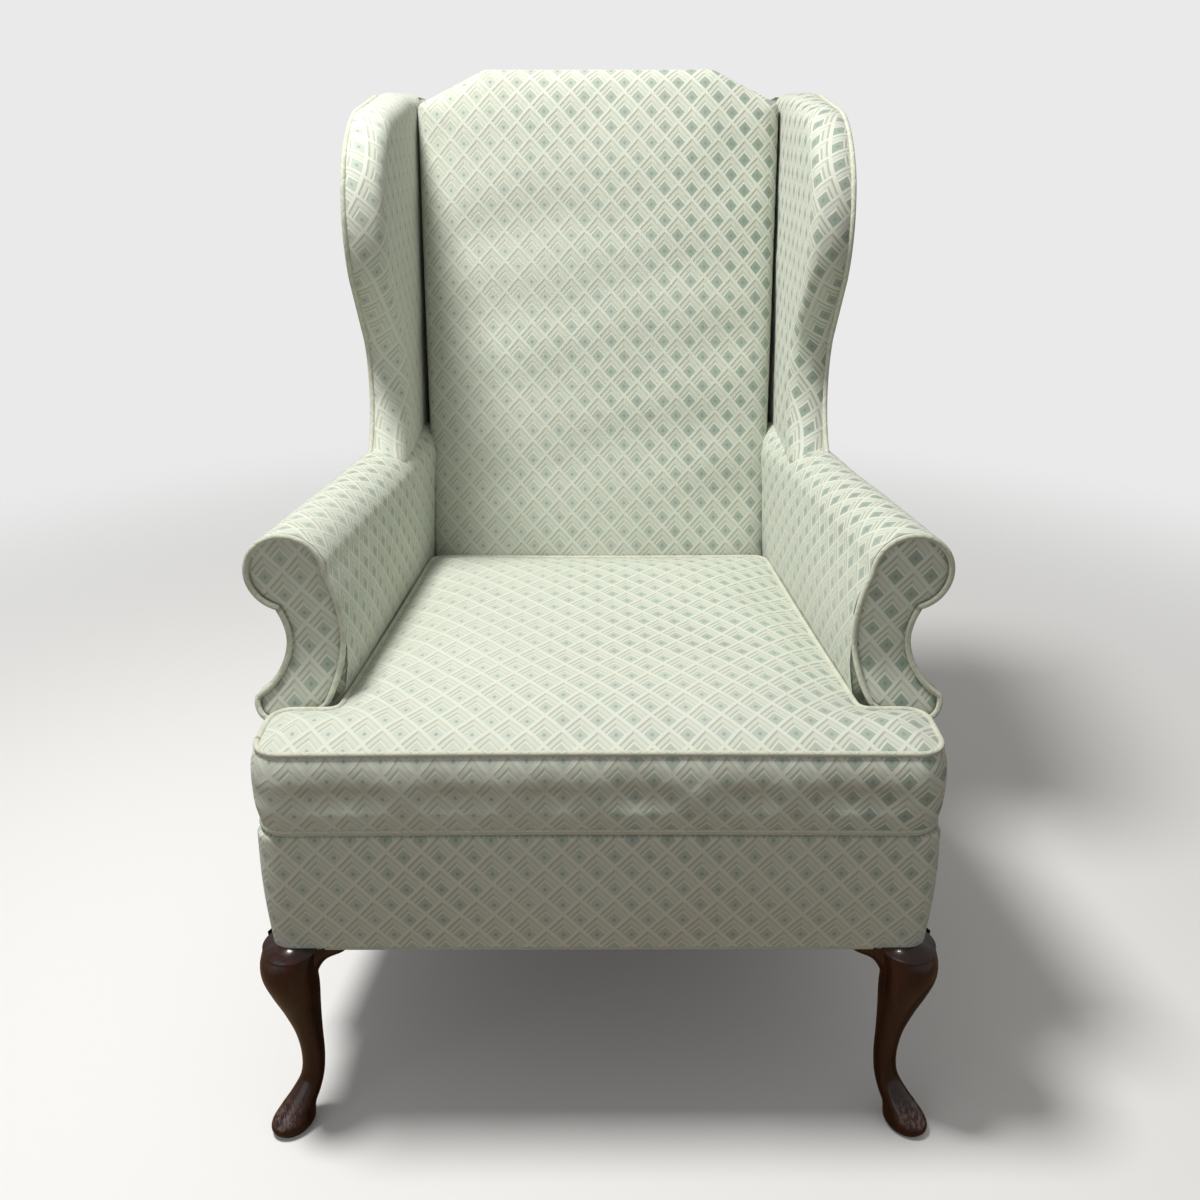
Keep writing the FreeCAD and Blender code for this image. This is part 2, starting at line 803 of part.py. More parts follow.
def panel_outline(inset, place, sides):
    """The keyhole shape of the arm front: roll, waist and rounded foot."""
    radius = scroll_radius - inset
    under = math.radians(scroll_under_angle)
    diagonal = radius * math.sqrt(0.5)
    start = (scroll_centre_x + radius * math.cos(under), scroll_height - radius * math.sin(under))
    steps = [
        ((scroll_centre_x + radius * math.cos(under / 2.0),
          scroll_height - radius * math.sin(under / 2.0)), (scroll_centre_x + radius, scroll_height)),
        ((scroll_centre_x + diagonal, scroll_height + diagonal),
         (scroll_centre_x, scroll_height + radius)),
        ((scroll_centre_x - diagonal, scroll_height + diagonal),
         (scroll_centre_x - radius, scroll_height)),
        ((arm_inside_front - arm_belly + inset, arm_belly_height),
         (foot_across(0.14) + inset, foot_height)),
        ((foot_across(0.31) + inset * 0.7, foot_height - foot_hang * 0.7 + inset * 0.7),
         (foot_across(0.64), foot_height - foot_hang + inset)),
        ((foot_across(0.96) - inset, foot_height - foot_hang * 0.5 + inset),
         (foot_across(0.97) - inset, foot_height + foot_hang * 0.5)),
        ((waist_x - inset, waist_height), start),
    ]
    return Part.Wire(run(start, steps, place, sides))


def panel_face(height):
    """Depth of the panel's face: upright, then curling forward towards its foot."""
    fall = (waist_height - height) / (waist_height - foot_height + foot_hang)
    return arm_front - foot_scoop * max(0.0, fall) ** 2


face_levels = [between(waist_height, foot_height - foot_hang, i / 5.0) for i in range(6)]
face_line = [(arm_front, beyond)] + [(panel_face(z), z) for z in face_levels]
face_line.append((panel_face(face_levels[-1]), -beyond))
rear_line = [(y + panel_thickness, z) for y, z in reversed(face_line)]
panel_slab = board(face_line + rear_line, side_view(0.0), V(beyond, 0, 0))
arm_panel = extrude(panel_outline(1.0, elevation(0.0), 6), V(0, arm_body_front, 0)).common(panel_slab)

# The outside arm cover turns round the front below the foot of the panel.
turn_in = extrude(arm_section(arm_body_front, 0.0, skirt_low), V(0, -cover_thickness, 0))
turn_zone = block(box_half_width + deck_gap, beyond, -beyond, beyond, seat_base, foot_height + 10.0)
turn_in = turn_in.common(turn_zone.cut(arm_panel))
outside_arm = outside_arm.fuse(biggest(turn_in)).removeSplitter()

# Wings


def wing_outline(inset, setback, place, low, rear_out, sides=0):
    """Side view of a wing: waist above the arm, sweep forward, rolled top, reclined rear."""
    front = inset + setback
    top = wing_top - inset - setback
    rear_top = (back_y(top, rear_out), top)
    rear_low = (back_y(low, rear_out), low)

    def edge(reach, rise):
        """A point of the front edge, forward of the back and up from the rolled arm."""
        return back_seat_y - wing_reach * reach + front, between(scroll_height, wing_top, rise)

    start = (edge(0.8, 0.0)[0], low)
    steps = [
        (edge(0.8, 0.05),),
        (edge(0.39, 0.184), edge(0.41, 0.368)),
        (edge(0.885, 0.547),),
        (edge(1.0, 0.676), edge(0.823, 0.818)),
        ((back_seat_y - wing_reach * 0.487 + front * 0.7, top - wing_reach * 0.37 + setback * 0.3),
         (back_seat_y + wing_reach * 0.265, top - wing_reach * 0.124)),
        ((back_seat_y + wing_reach * 1.31, top),),
        (rear_top,),
        (rear_low,),
    ]
    return outline(start, steps, place, sides)


def wing_body(inset, low, rear_out):
    """A wing with its inner front edge rolled over."""
    stations = [
        (wing_inside + inset, wing_round),
        (wing_inside + inset + wing_round * 0.3, wing_round * 0.45),
        (wing_inside + inset + wing_round * 0.65, wing_round * 0.13),
        (wing_inside + inset + wing_round * 1.1, 0.0),
        (wing_outside - inset, 0.0),
    ]
    wires = [wing_outline(inset, back, side_view(x), low, rear_out, 5) for x, back in stations]
    return loft(wires)


wing_low = scroll_height - scroll_drop - 40.0
wing_outer = wing_body(0.0, wing_low, cover_rear_w)
wing_inner = wing_body(cover_thickness, wing_low, cover_rear_w)
outside_plane = block(wing_outside - cover_thickness, beyond, -beyond, beyond, -beyond, beyond)
wing_shell = wing_outer.cut(wing_inner).cut(arm_outer)
outside_wing = biggest(wing_shell.common(outside_plane))
under_wing_top = block(0.0, beyond, -beyond, beyond, -beyond, wing_top - cover_thickness)
inside_wing = wing_shell.cut(outside_plane).cut(behind_padding.common(under_wing_top))
inside_wing = biggest(inside_wing)

def wing_layer(inset, out):
    """The side view of the wing as a board, from its inner face outward."""
    inner = wing_outside - cover_thickness - wing_board
    wire = wing_outline(inset, 0.0, side_view(inner), wing_low - 20.0, out, 5)
    return extrude(wire, V(wing_board, 0, 0))


wing_core = wing_layer(wing_board_inset, frame_front_w)
wing_frame = wing_core.cut(wing_layer(wing_board_inset + wing_board_width, cover_rear_w))
wing_frame = biggest(wing_frame.cut(arm_outer).cut(behind_frame_front))
wing_pad = biggest(wing_inner.cut(wing_core).cut(arm_outer).cut(behind_padding))


def webbing():
    """Straps up and across the back frame, tacked to its front."""
    straps = []
    low = tack_low + 8.0
    high = back_length - 60.0
    for place in (-1.0, 0.0, 1.0):
        middle = place * 120.0
        straps.append(back_block(
            middle - webbing_width / 2.0, middle + webbing_width / 2.0, low, high,
            frame_front_w, frame_front_w + webbing_thickness))
    for share in (0.2, 0.5, 0.8):
        level = between(low, high, share)
        straps.append(back_block(
            -post_half_inside - 14.0, post_half_inside + 14.0,
            level - webbing_width / 2.0, level + webbing_width / 2.0,
            frame_front_w + webbing_thickness, -back_pad_depth))
    return straps


# Outside back
outside_back_low = back_up(skirt_low, cover_rear_w - cover_thickness)
half_low = wing_outside - 2.0
outside_back = board(
    [
        (-half_low, outside_back_low),
        (half_low, outside_back_low),
        (half_low, back_up(wing_top, cover_rear_w) - 4.0),
        (back_half_top, back_up(wing_top, cover_rear_w) - 4.0),
        (back_half_top, back_length - shoulder_drop - 2.0),
        (back_top_half, back_length - 2.0),
        (-back_top_half, back_length - 2.0),
        (-back_half_top, back_length - shoulder_drop - 2.0),
        (-back_half_top, back_up(wing_top, cover_rear_w) - 4.0),
        (-half_low, back_up(wing_top, cover_rear_w) - 4.0),
    ],
    back_plane(cover_rear_w),
    back_point(0, 0, -cover_thickness) - back_point(0, 0, 0),
)

# Front border and base


def seat_plan(half, front, rear, radius, place):
    """Plan of the front of the seat box with its rounded corners, open at the rear."""
    corners = [(-half, rear), (-half, front), (half, front), (half, rear)]
    return rounded(corners, [0.5, radius, radius, 0.5], place, sides=4)


border_rear = arm_body_front - cover_thickness - deck_gap
border_outer = extrude(
    seat_plan(box_half_width, 0.0, border_rear, box_corner_radius, plan(skirt_low)),
    V(0, 0, deck_height - skirt_low),
)
border_inner = extrude(
    seat_plan(border_inside, border_thickness, border_rear + 40.0,
              box_corner_radius - border_thickness, plan(skirt_low)),
    V(0, 0, deck_height - skirt_low),
)
front_border = border_outer.cut(border_inner)

# Deck
deck_front = border_thickness + deck_gap
deck_rear = back_y(deck_height, 0.0) - deck_gap


def deck_sheet(low, high, inset):
    """A sheet of the deck: wide in front of the arms, then between them."""
    half = border_inside - deck_gap - inset
    front = deck_front + inset
    step = arm_body_front - deck_gap
    half_front = arm_inside_x(step) - deck_gap - inset
    half_rear = arm_inside_x(deck_rear) - deck_gap - inset
    rear = deck_rear - inset
    corners = [
        (-half, front), (half, front), (half, step), (half_front, step), (half_rear, rear),
        (-half_rear, rear), (-half_front, step), (-half, step),
    ]
    radii = [box_corner_radius - border_thickness] * 2 + [1.0] * 6
    return extrude(rounded(corners, radii, plan(low), sides=2), V(0, 0, high - low))


deck_cover = deck_sheet(deck_pad_top, deck_height, 0.0)
burlap_top = side_rail_top + burlap_thickness
deck_pad = deck_sheet(burlap_top, deck_pad_top, 0.0)
burlap = deck_sheet(side_rail_top, burlap_top, 4.0)

edge_roll_half = block_outside - box_corner_radius
edge_roll = block(
    -edge_roll_half, edge_roll_half, frame_front, frame_front + 14.0, rail_top, side_rail_top
)

# Sinuous springs
spring_front = frame_front + rail_thickness - 8.0
spring_rear = rear_rail_front + 8.0
spring_base = rail_top + 1.5


def spring(middle):
    """One flat zigzag spring, bowed up between the front and rear rails."""
    span = spring_rear - spring_front
    waves = int(span / spring_pitch)
    step = span / waves / 4.0
    points = []
    for i in range(4 * waves + 1):
        side = [-1.0, -1.0, 1.0, 1.0][i % 4]
        y = spring_front + i * step
        share = (y - spring_front) / span
        z = spring_base + spring_wire / 2.0 + spring_rise * math.sin(math.pi * share)
        points.append(V(middle + side * spring_width / 2.0, y, z))
    half = spring_wire / 2.0
    wire_corners = [(-half, -half), (half, -half), (half, half), (-half, half)]
    section = [points[0] + V(x, 0, z) for x, z in wire_corners]
    profile = Part.makePolygon(section + [section[0]])
    return Part.makePolygon(points).makePipeShell([profile], True, False, 1)


spring_step = 2.0 * (arm_inside_rear - 30.0) / (spring_count - 1)
springs = []
clips = []
for number in range(spring_count):
    middle = -(arm_inside_rear - 30.0) + number * spring_step
    springs.append(spring(middle))

clip_y = (spring_front + 4.0, spring_rear - 4.0)
for number in range(spring_count):
    middle = -(arm_inside_rear - 30.0) + number * spring_step
    for y in clip_y:
        clips.append(block(middle - 15.0, middle + 15.0, y - 7.0, y + 7.0, rail_top, rail_top + 1.5))

# Corner blocks with their screws and the leg bolts
block_low = rail_base + 14.0
block_high = rail_top - 20.0
block_middle = (block_low + block_high) / 2.0
front_rail_rear = frame_front + rail_thickness


def side_inside(y):
    """Inner face of a side rail at a depth."""
    return side_rail_x(y) - rail_thickness


brace = 58.0
front_corner = board(
    [
        (block_inside - brace, front_rail_rear),
        (block_inside, front_rail_rear),
        (block_inside, block_rear),
        (side_inside(block_rear), block_rear),
        (side_inside(block_rear + brace), block_rear + brace),
    ],
    plan(block_low),
    V(0, 0, block_high - block_low),
)
post_front_low = back_y(block_low, frame_front_w) - 1.0
rear_corner = board(
    [
        (post_half_inside - brace, rear_rail_front),
        (post_half_inside, rear_rail_front),
        (post_half_inside, post_front_low),
        (side_inside(post_front_low), post_front_low),
        (side_inside(post_front_low - brace), post_front_low - brace),
    ],
    plan(block_low),
    V(0, 0, block_high - block_low),
)


def screw(head, ahead):
    """A wood screw: a flat head and a plain shank."""
    ahead = V(ahead).normalize()
    shank = rod(head, ahead, screw_radius, screw_length)
    return shank.fuse(rod(head, ahead * -1.0, screw_head_radius, 2.0)).removeSplitter()


def brace_point(first, last, share):
    """A point on the slanting face of a corner block."""
    return V(between(first[0], last[0], share), between(first[1], last[1], share), block_middle)


front_brace = (
    (block_inside - brace, front_rail_rear),
    (side_inside(block_rear + brace), block_rear + brace),
)
rear_brace = (
    (post_half_inside - brace, rear_rail_front),
    (side_inside(post_front_low - brace), post_front_low - brace),
)
slant = V(front_brace[1][1] - front_brace[0][1], front_brace[0][0] - front_brace[1][0], 0)
screws = [
    screw(brace_point(*front_brace, 0.22), V(0, -1, 0)),
    screw(brace_point(*front_brace, 0.8), V(1, 0, 0)),
    screw(brace_point(*rear_brace, 0.22), V(0, 1, 0)),
    screw(brace_point(*rear_brace, 0.8), V(1, 0, 0)),
]
bolt_start = brace_point(*front_brace, 0.5)
bolt = rod(bolt_start, slant, bolt_radius, bolt_length)
nut = extrude(ring(bolt_start, slant, bolt_radius * 2.0, 6), slant.normalize() * -6.0)
leg_bolt = bolt.fuse(nut).removeSplitter()

front_corner = front_corner.cut(leg_bolt).cut(screws[0]).cut(screws[1])
rear_corner = rear_corner.cut(screws[2]).cut(screws[3])
leg = leg.cut(leg_bolt)
side_rail = side_rail.cut(screws[1]).cut(screws[3])
front_rail = front_rail.cut(screws[0]).cut(mirrored(screws[0]))
rear_rail = rear_rail.cut(screws[2]).cut(mirrored(screws[2]))

# Under cover
dust_corners = [
    (-block_outside + 4.0, frame_front + 4.0),
    (block_outside - 4.0, frame_front + 4.0),
    (side_rail_x(block_rear) - 4.0, block_rear),
    (post_half_inside - 4.0, rear_rail_front + 16.0),
    (-post_half_inside + 4.0, rear_rail_front + 16.0),
    (-side_rail_x(block_rear) + 4.0, block_rear),
]
dust_cover = board(dust_corners, plan(rail_base - dust_cover_thickness), V(0, 0, dust_cover_thickness))
dust_cover = biggest(dust_cover.cut(leg).cut(mirrored(leg)))

# Cushion


def cushion_wire(height, draw, swell, share):
    """Plan of the cushion at one height: drawn in all round, swelling at its open
    front and ears, and drawn in towards the crown by a share."""
    half_ear = between(cushion_ear_half, cushion_ear_half * 0.74, share) - draw + swell
    front = between(cushion_front, cushion_ear_rear * 0.55, share) + draw - swell
    ear = between(cushion_ear_rear, cushion_ear_rear * 0.95, share) - draw + swell
    back_face = back_y(min(height, cushion_top), back_crown) - cushion_clearance
    half_front = arm_inside_x(cushion_ear_rear) - cushion_clearance
    half_front = between(half_front, arm_inside_front * 0.55, share) - draw
    half_rear = between(arm_inside_x(back_face) - cushion_clearance, arm_inside_rear * 0.45, share) - draw
    rear = between(back_face, back_seat_y * 0.72, share) - draw
    corners = [
        (-half_ear, front), (half_ear, front), (half_ear, ear), (half_front, ear),
        (half_rear, rear), (-half_rear, rear), (-half_front, ear), (-half_ear, ear),
    ]
    radii = [between(radius, 5.0, share) for radius in cushion_radii]
    pulls = [cushion_pull, 0.0, 0.0, cushion_pull, cushion_pull, cushion_pull, 0.0, 0.0]
    return rounded(corners, radii, plan(height), sides=2, pulls=pulls)


def cushion_body(inset):
    """Boxed sides that swell between the welts, under a crowned top."""
    low = deck_height + fit_gap + inset
    seam = 3.0 + inset * 2.0
    sides = [
        (low, seam, 0.0),
        (low + 7.0, 0.0, 2.0),
        (deck_height + cushion_height * 0.5, 0.0, cushion_bulge),
        (cushion_top - 7.0, 0.0, 2.0),
        (cushion_top - inset, seam, 0.0),
    ]
    wires = [cushion_wire(height, draw + inset, swell, 0.0) for height, draw, swell in sides]
    for share in (0.25, 0.6, 1.0):
        rise = cushion_crown * (1.0 - (1.0 - share) ** 2)
        wires.append(cushion_wire(cushion_top + rise - inset, 3.0 + inset, 0.0, share))
    return loft(wires)


cushion_outer = cushion_body(0.0)
cushion_inner = cushion_body(cushion_cover_thickness)
zip_height = deck_height + cushion_height * 0.5
zip_face = back_y(zip_height, back_crown) - cushion_clearance
zip_half = slider_travel / 2.0 + slider_parking


def rear_boxing(depth, half, low, high):
    """A slab let into the rear of the cushion, following its lean."""
    corners = [(-half, low), (half, low), (half, high), (-half, high)]
    slab = board(corners, elevation(zip_face - depth), V(0, 60.0, 0))
    return slab


zip_low = zip_height - 11.0
zip_high = zip_height + 11.0
zip_recess = rear_boxing(9.0, zip_half + 3.0, zip_low, zip_high)
cushion_core = cushion_inner.cut(rear_boxing(11.0, zip_half + 5.0, zip_low - 2.0, zip_high + 2.0))
cushion_cover = cushion_outer.cut(cushion_core).cut(zip_recess)
zip_chain = block(-zip_half, zip_half, zip_face - 9.0, zip_face - 7.5, zip_low + 1.0, zip_high - 1.0)
slider_start = -slider_travel / 2.0
zip_slider = block(
    slider_start - 5.0,
    slider_start + 5.0,
    zip_face - 7.5 + slider_gap,
    zip_face - 7.5 + slider_gap + 2.6,
    zip_height - 4.5,
    zip_height + 4.5,
)
zip_pull = block(
    slider_start + 3.0,
    slider_start + 24.0,
    zip_face - 7.5 + slider_gap + 2.6,
    zip_face - 7.5 + slider_gap + 4.0,
    zip_height - 2.5,
    zip_height + 2.5,
)
zip_slider = zip_slider.fuse(zip_pull).removeSplitter()

# Piping
welt_z = seat_base + welt_radius
welt_half = box_half_width - welt_radius
welt_turn = box_corner_radius - welt_radius
welt_bend = welt_turn * (1.0 - math.sqrt(0.5))
front_run = run(
    (-welt_half, border_rear),
    [
        ((-welt_half, welt_radius + welt_turn),),
        ((-welt_half + welt_bend, welt_radius + welt_bend), (-welt_half + welt_turn, welt_radius)),
        ((welt_half - welt_turn, welt_radius),),
        ((welt_half - welt_bend, welt_radius + welt_bend), (welt_half, welt_radius + welt_turn)),
        ((welt_half, border_rear),),
    ],
    plan(welt_z),
    4,
)
base_welt_front = cord(corner_points(Part.Wire(front_run)))
base_rear = back_y(skirt_low, cover_rear_w) - 2.0


def arm_outside_x(y):
    """Outside of the arm below its waist at a depth."""
    share = (y - arm_body_front) / (arm_flush_y - arm_body_front)
    return between(foot_x, wing_outside, share)


base_welt_side = cord([
    V(arm_outside_x(arm_body_front) - welt_radius, arm_body_front, welt_z),
    V(arm_outside_x(base_rear) - welt_radius, base_rear, welt_z),
])
base_welt_rear = cord([
    V(-half_low, base_rear + 2.0 * welt_radius, welt_z),
    V(half_low, base_rear + 2.0 * welt_radius, welt_z),
])
welt_flat = welt_radius * math.cos(math.pi / 6.0)
seam_points = corner_points(panel_outline(2.0, elevation(0.0), 4))
seam_points = [V(point.x, panel_face(point.z) - welt_flat, point.z) for point in seam_points]
panel_welt = face_cord(seam_points, V(0, -1, 0))
arm_panel = biggest(arm_panel.cut(panel_welt))
wing_edge = wing_outline(
    -welt_radius, 0.0, side_view(wing_outside - welt_radius), wing_low + 30.0, cover_rear_w, 5
)
wing_welt = cord(corner_points(wing_edge)[:-2]).cut(wing_outer).cut(arm_outer)
wing_welt = biggest(wing_welt)
cushion_welts = []
for height in (deck_height + fit_gap + welt_radius, cushion_top - 1.0):
    points = corner_points(cushion_wire(height, 2.4, 0.0, 0.0))
    cushion_welts.append(cord(points, True))
for welt in cushion_welts:
    cushion_cover = biggest(cushion_cover.cut(welt))
    cushion_core = biggest(cushion_core.cut(welt))

keep_pair("front_leg", leg)
keep("knee_blocks", bracket_front, bracket_side, mirrored(bracket_front), mirrored(bracket_side))
keep_pair("rear_leg", rear_leg())
keep("front_rail", front_rail)
keep("rear_rail", rear_rail)
keep_pair("side_rail", side_rail)
keep_pair("back_post", post)
keep("crest_rail", crest_rail)
keep("back_rail", back_rail)
keep_pair("arm_stump", stump)
keep_pair("arm_rail", arm_rail)
keep_pair("arm_tack_rail", arm_tack_rail)
keep_pair("arm_pad", arm_pad)
keep_pair("inside_arm_cover", inside_arm)
keep_pair("outside_arm_cover", outside_arm)
keep_pair("arm_front_panel", arm_panel)
keep_pair("wing_frame", wing_frame)
keep_pair("wing_pad", wing_pad)
keep_pair("inside_wing_cover", inside_wing)
keep_pair("outside_wing_cover", outside_wing)
keep("back_pad", back_pad)
keep("back_webbing", *webbing())
keep("inside_back_cover", inside_back)
keep("outside_back_cover", outside_back)
keep("front_border", front_border)
keep("deck_cover", deck_cover)
keep("deck_pad", deck_pad)
keep("deck_burlap", burlap)
keep("front_edge_roll", edge_roll)
keep("seat_springs", *springs)
keep("spring_clips", *clips)
keep("corner_blocks", front_corner, rear_corner, mirrored(front_corner), mirrored(rear_corner))
keep("corner_screws", *(screws + [mirrored(piece) for piece in screws]))
keep("leg_bolts", leg_bolt, mirrored(leg_bolt))
keep("base_welt", base_welt_front, base_welt_side, mirrored(base_welt_side), base_welt_rear)
keep("arm_front_welts", panel_welt, mirrored(panel_welt))
keep("wing_welts", wing_welt, mirrored(wing_welt))
keep("cushion_welts", *cushion_welts)
keep("dust_cover", dust_cover)
keep("cushion_core", cushion_core)
keep("cushion_cover", cushion_cover)
keep("cushion_zip", zip_chain)
keep("zip_slider", zip_slider)

# The origin lies on the floor, under the middle of the chair.
middle_y = (leg.BoundBox.YMin + outside_back.BoundBox.YMax) / 2.0
for name, shape in nodes.items():
    shape.translate(V(0, -middle_y, 0))
    shape.exportStep("parts/" + name + ".step")
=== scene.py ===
import math

import bpy
import numpy as np
from mathutils.geometry import delaunay_2d_cdt
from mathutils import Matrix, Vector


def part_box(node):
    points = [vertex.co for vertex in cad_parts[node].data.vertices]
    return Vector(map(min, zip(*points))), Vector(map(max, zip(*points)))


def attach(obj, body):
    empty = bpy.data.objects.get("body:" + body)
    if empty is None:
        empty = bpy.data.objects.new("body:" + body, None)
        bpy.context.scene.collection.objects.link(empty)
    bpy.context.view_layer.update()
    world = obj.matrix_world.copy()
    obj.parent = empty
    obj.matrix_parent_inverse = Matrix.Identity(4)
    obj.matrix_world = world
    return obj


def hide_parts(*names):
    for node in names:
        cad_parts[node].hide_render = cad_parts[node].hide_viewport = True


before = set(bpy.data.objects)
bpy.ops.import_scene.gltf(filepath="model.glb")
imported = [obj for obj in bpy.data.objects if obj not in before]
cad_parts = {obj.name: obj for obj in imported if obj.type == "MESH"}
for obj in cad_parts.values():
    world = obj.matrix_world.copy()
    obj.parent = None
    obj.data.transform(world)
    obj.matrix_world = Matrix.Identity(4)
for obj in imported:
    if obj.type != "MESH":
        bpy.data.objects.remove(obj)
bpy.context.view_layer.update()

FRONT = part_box("front_border")[0].y * 1000.0

# Sizes in millimetres, measured like the CAD model: x across, y back from the
# front border's face, z up from the floor.
LEAN = math.radians(16.4)
SEAT_Y, SEAT_Z = 527.0, 458.0
SKIRT = 244.0
DECK = 380.0
CUSHION_TOP = 473.0
SCROLL_X, SCROLL_Z, SCROLL_R = 312.0, 614.0, 41.0
SCROLL_R_REAR, SCROLL_DROP = 37.0, 14.0
UNDER = math.radians(72.0)
WING_OUT = 289.0
WING_TOP = 1048.9
BACK_LENGTH = 652.0
COVER_REAR = -98.4
ARM_BODY = 126.0
INSIDE_FRONT, INSIDE_REAR = 267.0, 229.0
WELT = 3.1
BORDER_HALF = 343.0
FOOT_X, WAIST_X = 357.0, 319.0
BASE_WELT_Z = 241.2
CUSHION_UNDER = 380.5
CUSHION_DEPTH = 93.0
LEG_SIDES = 56
# On a rounded corner, the share of its radius from the corner to the middle of its arc
ROUND = 0.293
# Cloth simulation: frames, shrinking of the cloth, and the longest move in metres
CLOTH_FRAMES = 22
CLOTH_SHRINK = -0.004
CLOTH_REACH = 0.004


def metres(points):
    return (np.asarray(points, float) + np.array([0.0, FRONT, 0.0])) * 0.001


def back_point(across, up, out):
    y = SEAT_Y + up * math.sin(LEAN) - out * math.cos(LEAN)
    z = SEAT_Z + up * math.cos(LEAN) + out * math.sin(LEAN)
    return np.stack(np.broadcast_arrays(across, y, z), -1)


def back_up(height, out):
    return (height - SEAT_Z - out * math.sin(LEAN)) / math.cos(LEAN)


def back_y(height, out):
    return SEAT_Y + back_up(height, out) * math.sin(LEAN) - out * math.cos(LEAN)


def between(first, last, share):
    return first + (last - first) * share


def smooth_line(xs, ys):
    """A smooth curve through points that doesn't overshoot, as a function."""
    xs, ys = np.array(xs, float), np.array(ys, float)
    steps = np.diff(ys) / np.diff(xs)
    slopes = np.zeros_like(ys)
    slopes[0], slopes[-1] = steps[0], steps[-1]
    for i in range(1, len(xs) - 1):
        if steps[i - 1] * steps[i] > 0:
            slopes[i] = 2.0 / (1.0 / steps[i - 1] + 1.0 / steps[i])

    def value(at):
        at = np.clip(at, xs[0], xs[-1])
        i = np.clip(np.searchsorted(xs, at) - 1, 0, len(xs) - 2)
        gap = xs[i + 1] - xs[i]
        t = (at - xs[i]) / gap
        return (ys[i] * (1 + 2 * t) * (1 - t) ** 2 + slopes[i] * gap * t * (1 - t) ** 2
                + ys[i + 1] * t * t * (3 - 2 * t) + slopes[i + 1] * gap * t * t * (t - 1))
    return value


def arc_points(a, b, c, count):
    """Points after a, up to c, on the arc from a through b to c."""
    ax, ay = b[0] - a[0], b[1] - a[1]
    bx, by = c[0] - a[0], c[1] - a[1]
    cross = 2.0 * (ax * by - ay * bx)
    shares = np.arange(1, count + 1) / count
    if abs(cross) < 1e-6:
        return [(a[0] + bx * s, a[1] + by * s) for s in shares]
    near, far = ax * ax + ay * ay, bx * bx + by * by
    cx = a[0] + (near * by - far * ay) / cross
    cy = a[1] + (far * ax - near * bx) / cross
    radius = math.hypot(a[0] - cx, a[1] - cy)
    first = math.atan2(a[1] - cy, a[0] - cx)
    last = math.atan2(c[1] - cy, c[0] - cx)
    full = 2.0 * math.pi
    sweep = (last - first) % full if cross > 0 else -((first - last) % full)
    return [(cx + radius * math.cos(first + sweep * s), cy + radius * math.sin(first + sweep * s))
            for s in shares]


def trace(start, steps, counts):
    """A line through steps of one point (straight) or two (arc), with a count of points each."""
    points = [tuple(start)]
    for step, count in zip(steps, counts):
        here = points[-1]
        if len(step) == 1:
            for i in range(1, count + 1):
                points.append(tuple(between(np.array(here), np.array(step[0]), i / count)))
        else:
            points.extend(arc_points(here, step[0], step[1], count))
    return np.array(points, float)


def lengths(points):
    """Distance along a line to each of its points."""
    steps = np.linalg.norm(np.diff(points, axis=0), axis=1)
    return np.concatenate([[0.0], np.cumsum(steps)])


def resample(points, spacing, closed=True):
    """The same line with points at even distances."""
    line = np.vstack([points, points[:1]]) if closed else np.asarray(points, float)
    keep = np.concatenate([[True], np.linalg.norm(np.diff(line, axis=0), axis=1) > 1e-6])
    line = line[keep]
    run = lengths(line)
    count = max(3, int(round(run[-1] / spacing)))
    at = np.linspace(0.0, run[-1], count + 1)
    if closed:
        at = at[:-1]
    return np.stack([np.interp(at, run, line[:, k]) for k in range(line.shape[1])], -1)


def fillet(corners, radii, pulls=None):
    """A closed outline with rounded corners, and the middle of some sides drawn in."""
    corners = [np.array(c, float) for c in corners]
    count = len(corners)
    middle = sum(corners) / count
    points = []
    bends = []
    for i in range(count):
        corner = corners[i]
        before = corners[i - 1] - corner
        after = corners[(i + 1) % count] - corner
        before, after = before / np.linalg.norm(before), after / np.linalg.norm(after)
        half = math.acos(np.clip(before.dot(after), -1, 1)) / 2.0
        reach = radii[i] / math.tan(half)
        bisector = (before + after) / np.linalg.norm(before + after)
        near = radii[i] / math.sin(half) - radii[i]
        bends.append((corner + before * reach, corner + bisector * near, corner + after * reach))
    for i in range(count):
        first, through, end = bends[i]
        points.append(tuple(first))
        points.extend(arc_points(first, through, end, 10))
        onward = bends[(i + 1) % count][0]
        span = np.linalg.norm(onward - end)
        side = (onward - end) / max(span, 1e-6)
        inward = np.array([-side[1], side[0]])
        if inward.dot(middle - (end + onward) / 2) < 0:
            inward = -inward
        pull = pulls[i] if pulls else 0.0
        for k in range(1, max(2, int(span / 8.0))):
            share = k / max(2, int(span / 8.0))
            bow = pull * math.sin(math.pi * share)
            points.append(tuple(end + (onward - end) * share + inward * bow))
    return np.array(points)


def edge_distance(points, outline):
    """Distance of points inside an outline to its nearest side, with that side's outward normal."""
    a = outline
    b = np.roll(outline, -1, axis=0)
    ab = b - a
    area = 0.5 * np.sum(a[:, 0] * b[:, 1] - b[:, 0] * a[:, 1])
    normal = np.stack([ab[:, 1], -ab[:, 0]], -1) * (1.0 if area > 0 else -1.0)
    normal /= np.maximum(np.linalg.norm(normal, axis=1), 1e-9)[:, None]
    best = np.full(len(points), 1e9)
    away = np.zeros((len(points), 2))
    size = np.maximum((ab ** 2).sum(1), 1e-12)
    for start in range(0, len(points), 2000):
        p = points[start:start + 2000, None, :]
        t = np.clip(((p - a) * ab).sum(2) / size, 0, 1)
        gap = np.linalg.norm(p - (a + ab * t[..., None]), axis=2)
        nearest = gap.argmin(1)
        best[start:start + 2000] = gap[np.arange(len(nearest)), nearest]
        away[start:start + 2000] = normal[nearest]
    return best, away


